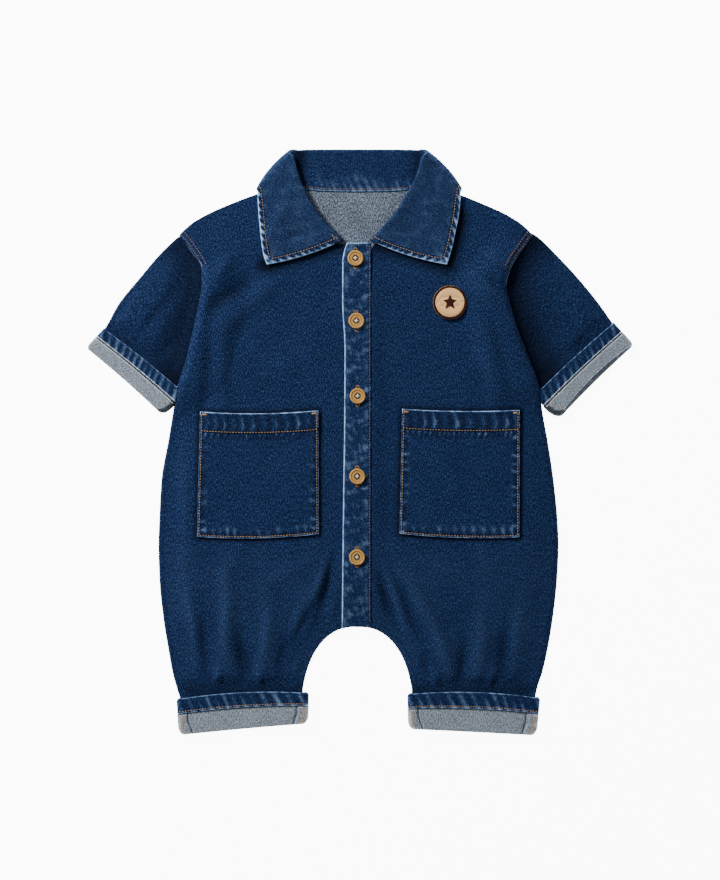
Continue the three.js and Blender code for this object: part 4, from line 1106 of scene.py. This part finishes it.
# The collar: one turned-down piece of denim, two plies thick. Its stand is sewn to the neck edge, rolls
# over and falls as two leaves on the fronts and a band that lies folded under at the back. It is
# topstitched 4.5 mm inside its edges, and the neck seam is stitched in brown.
COLLAR = [  # turn of the fall, then y and x on the right and left of the seam, the fold and the edge; bow
    (0, (169.6, -18.1, 12.1), (171.7, -14.7, 8.7), (151.3, -78.8, 73.9), -2.4),
    (0, (175.1, -28.7, 23.2), (180.6, -23.2, 18.1), (158.1, -81.4, 76.3), -0.6),
    (0, (181.0, -39.7, 33.4), (187.8, -30.4, 24.4), (167.4, -83.1, 78.8), 0),
    (0, (190.4, -50.8, 45.3), (197.6, -37.8, 32.5), (180.2, -84.6, 81.6), 0),
    (0, (201.4, -59.3, 54.6), (209.9, -45.1, 39.7), (192.9, -85.8, 84.0), 0),
    (0, (208.0, -63.0, 58.8), (222.0, -50.8, 46.6), (202.0, -86.4, 85.0), 0.5),
    (0, (211.8, -64.8, 60.9), (235.5, -55.2, 51.6), (208.5, -86.6, 85.4), 1),
    (0, (214.5, -65.9, 62.2), (243.5, -57.3, 54.2), (212.0, -86.6, 85.5), 1.5),
    (90, (217.3, -66.9, 63.6), (247.8, -59.2, 56.4), (215.8, -86.9, 86.0), 2.4),
    (180, (217.2, -63.0, 60.0), (248.5, -53.0, 50.2), (211.5, -83.5, 82.6), 1.5),
    (180, (216.4, -52.5, 49.5), (248.8, -46.5, 43.6), (205.0, -62.0, 60.0), 0),
    (180, (214.2, -29.5, 26.6), (249.0, -27.0, 24.0), (202.7, -32.1, 29.1), 0),
    (180, (213.8, MIDDLE, MIDDLE), (249.0, MIDDLE, MIDDLE), (202.3, MIDDLE, MIDDLE), 0),
]
SHOULDER_FOLD = 8
ROLL_RADIUS = 1.2
COLLAR_STITCH = 4.5


def collar_line(turn, seam, roll, edge, bow, side):
    """The collar's middle at one station: up the stand, round the roll and out along the fall."""
    swing, standing = math.cos(math.radians(turn)), math.sin(math.radians(turn))
    start, end = np.array([*seam, 4.4 + 1.1 * swing]), np.array([*edge, 4.45 + 3.45 * swing])
    tip = np.array([*roll, 4.45 + (3.45 - ROLL_RADIUS) * swing])
    back = ((start + end) / 2 - tip) * (1, 1, 0)
    back = back / np.linalg.norm(back)
    apart = np.array([0.9 * SIDES[side] * standing, 0.43 * standing, swing])
    apart = apart / np.linalg.norm(apart)
    angle = np.radians(np.linspace(-90, 90, 11))[:, None]
    bend = tip + back * ROLL_RADIUS + ROLL_RADIUS * (apart * np.sin(angle) - back * np.cos(angle))
    up_stand = np.concatenate([[0, 0.006, 0.02, 0.045], np.linspace(0.08, 1, 13)])[:-1, None]
    stand = start + (bend[0] - start) * up_stand
    across = (end - bend[-1]) * (1, 1, 0)
    across = across / np.linalg.norm(across)
    sideways = np.array([across[1], -across[0], 0]) * SIDES[side]
    t = np.concatenate([np.linspace(0, 0.965, 38), [0.98, 0.99, 0.996, 1]])[1:, None]
    fall = bend[-1] + (end - bend[-1]) * t - sideways * bow * 4 * t * (1 - t)
    return np.concatenate([stand, bend, fall])


def collar_half(side):
    column = 1 if side == "right" else 2
    plan = lambda point: np.array([point[column], point[0]])
    lines = []
    for number, (turn, seam, roll, edge, bow) in enumerate(COLLAR):
        if turn != 90:
            lines.append(collar_line(turn, plan(seam), plan(roll), plan(edge), bow, side))
        if number != SHOULDER_FOLD - 1:
            continue
        front, fold, under = COLLAR[number:number + 3]
        for k in range(1, 12):
            angle = math.pi * k / 12
            keep, lean = (1 + math.cos(angle)) / 2, math.sin(angle)
            places = []
            for point in (1, 2, 3):
                a, b, c = (plan(station[point]) for station in (front, fold, under))
                places.append(a * keep + c * (1 - keep) + (b - (a + c) / 2) * lean)
            bowed = front[4] + (fold[4] - front[4]) * lean
            lines.append(collar_line(15 * k, *places, bowed, side))
    return lines


collar_lines = np.array(collar_half("right") + collar_half("left")[-2::-1])
spans = np.linalg.norm(np.diff(collar_lines, axis=0), axis=-1).mean(axis=1)
knots = np.concatenate([[0], np.cumsum(spans)])
places = edge_spaced(236, knots[-1]) * knots[-1]
middle = np.empty((len(places), *collar_lines.shape[1:]))
for j in range(collar_lines.shape[1]):
    for k in range(3):
        middle[:, j, k] = through(np.column_stack([knots, collar_lines[:, j, k]]))(places)
steps = np.linalg.norm(np.diff(middle, axis=1), axis=-1)
from_seam = np.concatenate([np.zeros((len(middle), 1)), np.cumsum(steps, axis=1)], axis=1)
to_edge = from_seam[:, -1:] - from_seam
steps = np.linalg.norm(np.diff(middle, axis=0), axis=-1)
run = np.concatenate([np.zeros((1, middle.shape[1])), np.cumsum(steps, axis=0)])
to_front = np.minimum(run, run[-1:] - run)
rolled = np.exp(-((from_seam - from_seam[:, 17:18]) / 3.0) ** 2)
edge_ridges = puckers(run, to_edge, 6.6, 81, 9, 0.7)
front_ridges = puckers(to_edge, to_front, 6.2, 83, 9, 0.7) * (from_seam > 14)
seam_ridges = puckers(run, from_seam, 5.6, 85, 16, 0.2)
ridges = np.maximum(edge_ridges, front_ridges)
near = np.minimum(to_edge, to_front + 200 * (from_seam < 12))
sewn = np.exp(-((near - COLLAR_STITCH) / 0.7) ** 2)
COLLAR_CREASES = [
    (-66, 196, 62, 26, 7, 0.9), (-52, 176, 24, 22, 6, -0.8), (-76, 172, 84, 20, 5, 0.6),
    (62, 196, 118, 26, 7, 0.9), (50, 176, 156, 22, 6, -0.8), (72, 172, 96, 20, 5, 0.6),
    (-28, 236, 4, 30, 6, 0.5), (24, 228, -3, 34, 6, 0.5),
]
front_lift = (middle[..., 2] > 5.4) * ramp(4, 14, from_seam)
soft = creases(COLLAR_CREASES, middle[..., 0], middle[..., 1])
soft = soft + 0.22 * wave(middle[..., 0] * 1.6, middle[..., 1] * 1.6, 87)
puffed = 1.5 * np.exp(-((from_seam - from_seam[:, 17:18]) / 9.0) ** 2)
relief = 0.45 * ridges * (1 - rolled) - 0.35 * sewn + 0.2 * seam_ridges
relief = relief + soft * (1 - rolled) * ramp(0, 9, near) + puffed
middle[..., 2] += relief * front_lift + 0.3 * seam_ridges * (middle[..., 2] <= 5.4)
tips = np.exp(-(np.hypot(to_edge, to_front) / 9) ** 2)
uneven = 0.85 + 0.4 * wave(run * 6, from_seam * 6, 89)
band = 1 - ramp(COLLAR_STITCH - 0.8, COLLAR_STITCH + 1.2, near)
leaf = from_seam > from_seam[:, 17:18]
hollows = band * ramp(0.6, 1.5, near) * (1 - ridges)
worn = ridges * (0.16 + 0.8 * band) * uneven + rubbed_edge(near, 0.6, 1.0) * uneven + 0.5 * tips * uneven
# Painted shade in the hollows and along the stitch line.
worn = worn - 0.5 * hollows + 0.12 * leaf - 0.07 - 0.35 * np.exp(-(near - COLLAR_STITCH) ** 2)
# Painted shadow on the stand where the leaves fold over it at the shoulders.
corner = np.exp(-((middle[..., 0] + 51) / 6) ** 2) + 0.6 * np.exp(-((middle[..., 0] - 48) / 4) ** 2)
worn = worn - 0.7 * corner * ~leaf + np.where(leaf, 0.07, 0.12) * blotches(run * 1.2, from_seam * 0.5, 93)
worn = worn + (rubbed_edge(from_seam, 0.8, 0.7) + 0.48 * seam_ridges * uneven) * (to_front > 60)
grain = np.stack([run, from_seam], axis=-1)
collar_wall = cloth_wall(middle, COLLAR_THICK, grain, worn)
collar = cloth_piece("turned_collar", [collar_wall], [denim])
declare(collar, "collar")

collar_face, collar_slopes = collar_wall["upper"], grid_normals(middle)
if (collar_face[8, -8] - middle[8, -8]).dot(collar_slopes[8, -8]) < 0:
    collar_slopes = -collar_slopes


def on_collar(row, measure, wanted):
    """The face and slope where a measure down one row of the collar reaches a value."""
    order = np.argsort(measure)
    return [np.array([np.interp(wanted, measure[order], values[row][order, k]) for k in range(3)])
            for values in (collar_face, collar_slopes)]


def along_columns(column, wanted, first):
    """The face and slope where the distance from a front edge reaches a value in one column."""
    rows = slice(0, 40) if first else slice(len(run) - 40, None)
    measure = to_front[rows, column] if first else to_front[rows, column][::-1]
    pick = (lambda values: values[rows, column]) if first else (lambda values: values[rows, column][::-1])
    return [np.array([np.interp(wanted, measure, pick(values)[:, k]) for k in range(3)])
            for values in (collar_face, collar_slopes)]


edge_line = [on_collar(row, to_edge[row], COLLAR_STITCH) for row in range(len(run))
             if to_front[row, -6] > COLLAR_STITCH]
seam_line = [on_collar(row, from_seam[row], 2.1) for row in range(len(run)) if to_front[row, 4] > 1]
front_lines = []
for first in (True, False):
    columns = [j for j in range(26, middle.shape[1]) if to_edge[5, j] > COLLAR_STITCH]
    front_lines.append([along_columns(j, COLLAR_STITCH, first) for j in columns])
as_seam = lambda line: (np.array([spot for spot, _ in line]), np.array([slope for _, slope in line]))
stitches("collar_stitches", [as_seam(edge_line), *(as_seam(line) for line in front_lines)], copper_thread)
stitches("neck_seam_stitches", [as_seam(seam_line)], brown_thread)
find_collar = surface_of(collar)
short_seams = [[(-24.0, 176.8), (-16.6, 171.2)], [(14.0, 175.6), (8.4, 171.6)]]
stitches("collar_end_stitches", [laid(path, find_collar) for path in short_seams], copper_thread)

# The buttons: five turned wooden discs with a raised rim, a groove, a shallow dish and four holes, each
# sewn on crosswise with off-white thread and pushed through its buttonhole.
BUTTON = {"radius": 6.7, "thick": 2.4, "rim": 1.3, "dish": 0.6, "hole": 0.85, "spread": 1.4}


def wood_material():
    """Light wood, turned and waxed: fine grain across the disc, darker in the groove behind the rim, with
    painted shade in the dish.
    """
    material = bpy.data.materials.new("turned wood")
    material.use_nodes = True
    tree = material.node_tree
    shader = tree.nodes["Principled BSDF"]
    place = shader_node(tree, "TexCoord").outputs["Object"]
    parts = shader_node(tree, "SeparateXYZ", None, Vector=place).outputs
    squares = [maths(tree, "POWER", parts[axis], 2.0) for axis in (0, 1)]
    reach = maths(tree, "SQRT", maths(tree, "ADD", *squares))
    groove = maths(tree, "ABSOLUTE", maths(tree, "SUBTRACT", reach, 4.75 * MM))
    groove = shader_node(tree, "MapRange", None, i0=groove, i1=0.0, i2=0.7 * MM, i3=1.0, i4=0.0).outputs[0]
    streaked = shader_node(tree, "Mapping", None, Vector=place, Scale=(2600, 420, 900)).outputs[0]
    grain = shader_node(tree, "TexNoise", None, Vector=streaked, Scale=1.0, Detail=3.0).outputs[0]
    plain = blend_colour(tree, grain, (0.26, 0.115, 0.024, 1), (0.74, 0.42, 0.11, 1))
    # Painted shade in the dish round the holes.
    well = shader_node(tree, "MapRange", None, i0=reach, i1=2.4 * MM, i2=3.1 * MM, i3=1.0, i4=0.0).outputs[0]
    shade = maths(tree, "MAXIMUM", maths(tree, "MULTIPLY", groove, 0.62), well)
    tree.links.new(blend_colour(tree, shade, plain, (0.085, 0.036, 0.010, 1)), shader.inputs["Base Color"])
    raised = shader_node(tree, "Bump", None, Strength=0.3, Distance=0.1 * MM, Height=grain)
    tree.links.new(raised.outputs[0], shader.inputs["Normal"])
    shader.inputs["Roughness"].default_value = 0.42
    shader.inputs["Specular IOR Level"].default_value = 0.25
    return material


wood = wood_material()
white_thread = thread_material("off-white button thread", (0.95, 0.93, 0.86), (0.62, 0.60, 0.54))
radius, thick, rim, dish = (BUTTON[name] for name in ("radius", "thick", "rim", "dish"))
profile = [
    (0.0, 0.0), (radius - 1.5, 0.0), (radius - 0.7, 0.25), (radius - 0.15, 0.75), (radius, 1.25),
    (radius - 0.08, 1.75), (radius - 0.35, thick - 0.18), (radius - 0.7, thick), (radius - rim, thick - 0.06),
    (radius - rim - 0.35, thick - 0.42), (radius - rim - 0.75, thick - 0.6),
    (radius - rim - 1.2, thick - 0.5), (radius - rim - 1.7, thick - 0.42),
    (2.6, thick - dish), (1.0, thick - dish - 0.05), (0.0, thick - dish - 0.05),
]
crosses = []
for number, (button_x, button_y) in enumerate(BUTTONS, start=1):
    ring = np.arange(40) * math.tau / 40
    points, faces = [], []
    for reach, height in profile[1:-1]:
        points += [(reach * math.cos(a), reach * math.sin(a), height) for a in ring]
    for level in range(len(profile) - 3):
        for k in range(40):
            one, two = level * 40 + k, level * 40 + (k + 1) % 40
            faces.append((one, two, two + 40, one + 40))
    faces += [tuple(range(39, -1, -1)), tuple((len(profile) - 3) * 40 + k for k in range(40))]
    mesh = bpy.data.meshes.new(f"wooden_button_{number}")
    mesh.from_pydata((np.array(points) * MM).tolist(), [], faces)
    blank = bpy.data.objects.new(f"wooden_button_{number}", mesh)
    bpy.context.scene.collection.objects.link(blank)
    turn = math.radians(9 * math.sin(number * 2.3))
    holes = [(BUTTON["spread"] * math.sqrt(2) * math.cos(turn + q * math.pi / 2),
              BUTTON["spread"] * math.sqrt(2) * math.sin(turn + q * math.pi / 2)) for q in range(4)]
    drilled = bmesh.new()
    for hole_x, hole_y in holes:
        made = bmesh.ops.create_cone(drilled, cap_ends=True, segments=16, radius1=BUTTON["hole"] * MM,
                                     radius2=BUTTON["hole"] * MM, depth=8 * MM)
        bmesh.ops.translate(drilled, verts=made["verts"], vec=(hole_x * MM, hole_y * MM, 1.2 * MM))
    cutter_mesh = bpy.data.meshes.new("drill")
    drilled.to_mesh(cutter_mesh)
    drilled.free()
    cutter = bpy.data.objects.new("drill", cutter_mesh)
    bpy.context.scene.collection.objects.link(cutter)
    cut = blank.modifiers.new("holes", "BOOLEAN")
    cut.operation, cut.object, cut.solver = "DIFFERENCE", cutter, "EXACT"
    done = bpy.data.meshes.new_from_object(blank.evaluated_get(bpy.context.evaluated_depsgraph_get()))
    blank.modifiers.clear()
    blank.data = done
    bpy.data.objects.remove(cutter)
    done.materials.clear()
    done.materials.append(wood)
    for face in done.polygons:
        face.use_smooth = face.area > 0.02 * MM * MM and abs(face.normal.z) > 0.05
        face.material_index = 0
    around = [find_placket(button_x + dx, button_y + dy)[0][2] for dx in (-6, 0, 6) for dy in (-6, 0, 6)]
    seat = max(around) + 0.12
    blank.location = Vector((button_x, button_y, seat)) * MM
    declare(blank, f"button_{number}")
    top = seat + thick - dish - 0.05
    for pair in (0, 1):
        first, last = np.array(holes[pair]), np.array(holes[pair + 2])
        for share in (-0.16, 0.16):
            beside = np.array([-(last - first)[1], (last - first)[0]]) * share * 0.3
            spots = [first * 1.06 + beside, last * 1.06 + beside]
            heights = [top - 0.35, top + 0.3 + 0.28 * pair, top + 0.3 + 0.28 * pair, top - 0.35]
            line = np.array([[*(spots[0] + (spots[1] - spots[0]) * t), z]
                             for t, z in zip((0, 0.2, 0.8, 1), heights)])
            crosses.append((line + (button_x, button_y, 0), np.tile([0.0, 0.0, 1.0], (4, 1))))
stitches("button_threads", crosses, white_thread, 6.0, 0.05, 0.27)

# The badge: a small round patch on the wearer's left chest, its tan ground and plain brown star worked
# in satin stitch and its edge whipped all round with dark brown thread.
BADGE = {"x": 76.5, "y": 119.3, "radius": 14.5, "thick": 1.4, "rim": 2.4, "star": 7.0}

tan_satin = thread_material("tan embroidery thread", (1.0, 0.62, 0.29), (0.88, 0.50, 0.21))
dark_satin = thread_material("dark brown embroidery thread", (0.060, 0.018, 0.008), (0.020, 0.006, 0.003))
radius, thick = BADGE["radius"], BADGE["thick"]
spokes = [(dx, dy) for dx in (-12, 0, 12) for dy in (-12, 0, 12) if math.hypot(dx, dy) < 14]
seat = max(find_front(BADGE["x"] + dx, BADGE["y"] + dy)[0][2] for dx, dy in spokes) + 0.1
ring = np.arange(72) * math.tau / 72
reaches = [(0.2, 0.0), (radius - 0.9, 0.0), (radius - 0.3, 0.35), (radius - 0.15, 0.7), (radius - 0.5, 1.05),
           (radius - 1.2, thick - 0.15), (radius - 2.6, thick - 0.05), (radius - 6, thick), (0.2, thick)]
points = [(reach * math.cos(a), reach * math.sin(a), height) for reach, height in reaches for a in ring]
faces = []
for level in range(len(reaches) - 1):
    for k in range(72):
        one, two = level * 72 + k, level * 72 + (k + 1) % 72
        faces.append((one, two, two + 72, one + 72))
faces += [tuple(range(71, -1, -1)), tuple((len(reaches) - 1) * 72 + k for k in range(72))]
mesh = bpy.data.meshes.new("badge_ground")
mesh.from_pydata(((np.array(points) + (BADGE["x"], BADGE["y"], seat)) * MM).tolist(), [], faces)
mesh.materials.append(tan_satin)
mesh.polygons.foreach_set("use_smooth", np.ones(len(faces), dtype=bool))
ground = bpy.data.objects.new("badge_ground", mesh)
bpy.context.scene.collection.objects.link(ground)
declare(ground, "badge")
centre, face_z = np.array([BADGE["x"], BADGE["y"]]), seat + thick
upright = np.tile([0.0, 0.0, 1.0], (2, 1))


def satin(start, end, lift=0.0):
    spots = [centre + start, centre + end]
    return np.array([[*spot, face_z + lift] for spot in spots]), upright


whipped = []
for a in np.arange(150) * math.tau / 150:
    spoke, twist = np.array([math.cos(a), math.sin(a)]), np.array([math.cos(a + 0.03), math.sin(a + 0.03)])
    line = np.array([[*(centre + spoke * (radius - BADGE["rim"])), face_z - 0.05],
                     [*(centre + spoke * (radius - 1.0)), face_z + 0.1],
                     [*(centre + twist * (radius - 0.1)), face_z - 0.5]])
    whipped.append((line, np.tile([0.0, 0.0, 1.0], (3, 1))))
stitches("badge_rim", whipped, dark_satin, 6.0, 0.02, 0.34)
filled = []
for row in np.arange(-11.9, 12.0, 0.46):
    half = math.sqrt(max((radius - BADGE["rim"] + 0.2) ** 2 - row * row, 0))
    if half > 1:
        filled.append(satin((row, -half), (row, half)))
stitches("badge_fill", filled, tan_satin, 7.0, 0.05, 0.3)
tips = []
for k in range(10):
    reach = BADGE["star"] * (1.0 if k % 2 == 0 else 0.45)
    tips.append(reach * np.array([math.sin(k * math.pi / 5), math.cos(k * math.pi / 5)]))
star = []
for row in np.arange(-6.4, 6.7, 0.42):
    crossings = []
    for k in range(10):
        (ax, ay), (bx, by) = tips[k], tips[(k + 1) % 10]
        if (ay - row) * (by - row) < 0:
            crossings.append(ax + (bx - ax) * (row - ay) / (by - ay))
    crossings = sorted(crossings)
    for left, right in zip(crossings[::2], crossings[1::2]):
        if right - left > 0.5:
            star.append(satin((left, row), (right, row), 0.35))
stitches("badge_star", star, dark_satin, 14.0, 0.05, 0.32)

# What the garment lies on, and the studio: a plain pale surface, a large soft light from the upper
# left, and a camera straight above at the distance where the whole garment fills the frame.
SURFACE_BELOW = 0.15
CAMERA_PLACE = (0.0002, 0.00255, 1.771)

mesh = bpy.data.meshes.new("surface")
far = 3.0
mesh.from_pydata([(-far, -far, 0), (far, -far, 0), (far, far, 0), (-far, far, 0)], [], [(0, 1, 2, 3)])
surface = bpy.data.objects.new("surface", mesh)
surface.location.z = -SURFACE_BELOW * MM
bpy.context.scene.collection.objects.link(surface)
pale = bpy.data.materials.new("pale surface")
pale.use_nodes = True
shader = pale.node_tree.nodes["Principled BSDF"]
shader.inputs["Base Color"].default_value = (0.93, 0.93, 0.93, 1)
shader.inputs["Roughness"].default_value = 0.9
shader.inputs["Emission Color"].default_value = (1, 1, 1, 1)
shader.inputs["Emission Strength"].default_value = 10.0
mesh.materials.append(pale)


def soft_light(name, place, size, power, towards=(0, 0, 0)):
    light = bpy.data.lights.new(name, "AREA")
    light.shape, light.size, light.energy = "DISK", size, power
    lamp = bpy.data.objects.new(name, light)
    lamp.location = place
    lamp.rotation_euler = (Vector(towards) - Vector(place)).to_track_quat("-Z", "Y").to_euler()
    bpy.context.scene.collection.objects.link(lamp)


soft_light("key", (-1.3, 1.2, 1.05), 0.5, 70)
soft_light("fill", (1.3, -0.7, 1.6), 1.6, 4)

world = bpy.data.worlds.new("studio")
world.use_nodes = True
world.node_tree.nodes["Background"].inputs["Color"].default_value = (1.0, 1.0, 1.0, 1)
world.node_tree.nodes["Background"].inputs["Strength"].default_value = 0.3
bpy.context.scene.world = world

lens = bpy.data.cameras.new("camera")
lens.lens, lens.sensor_width = 85, 36
camera = bpy.data.objects.new("camera", lens)
camera.location = CAMERA_PLACE
bpy.context.scene.collection.objects.link(camera)
bpy.context.scene.camera = camera
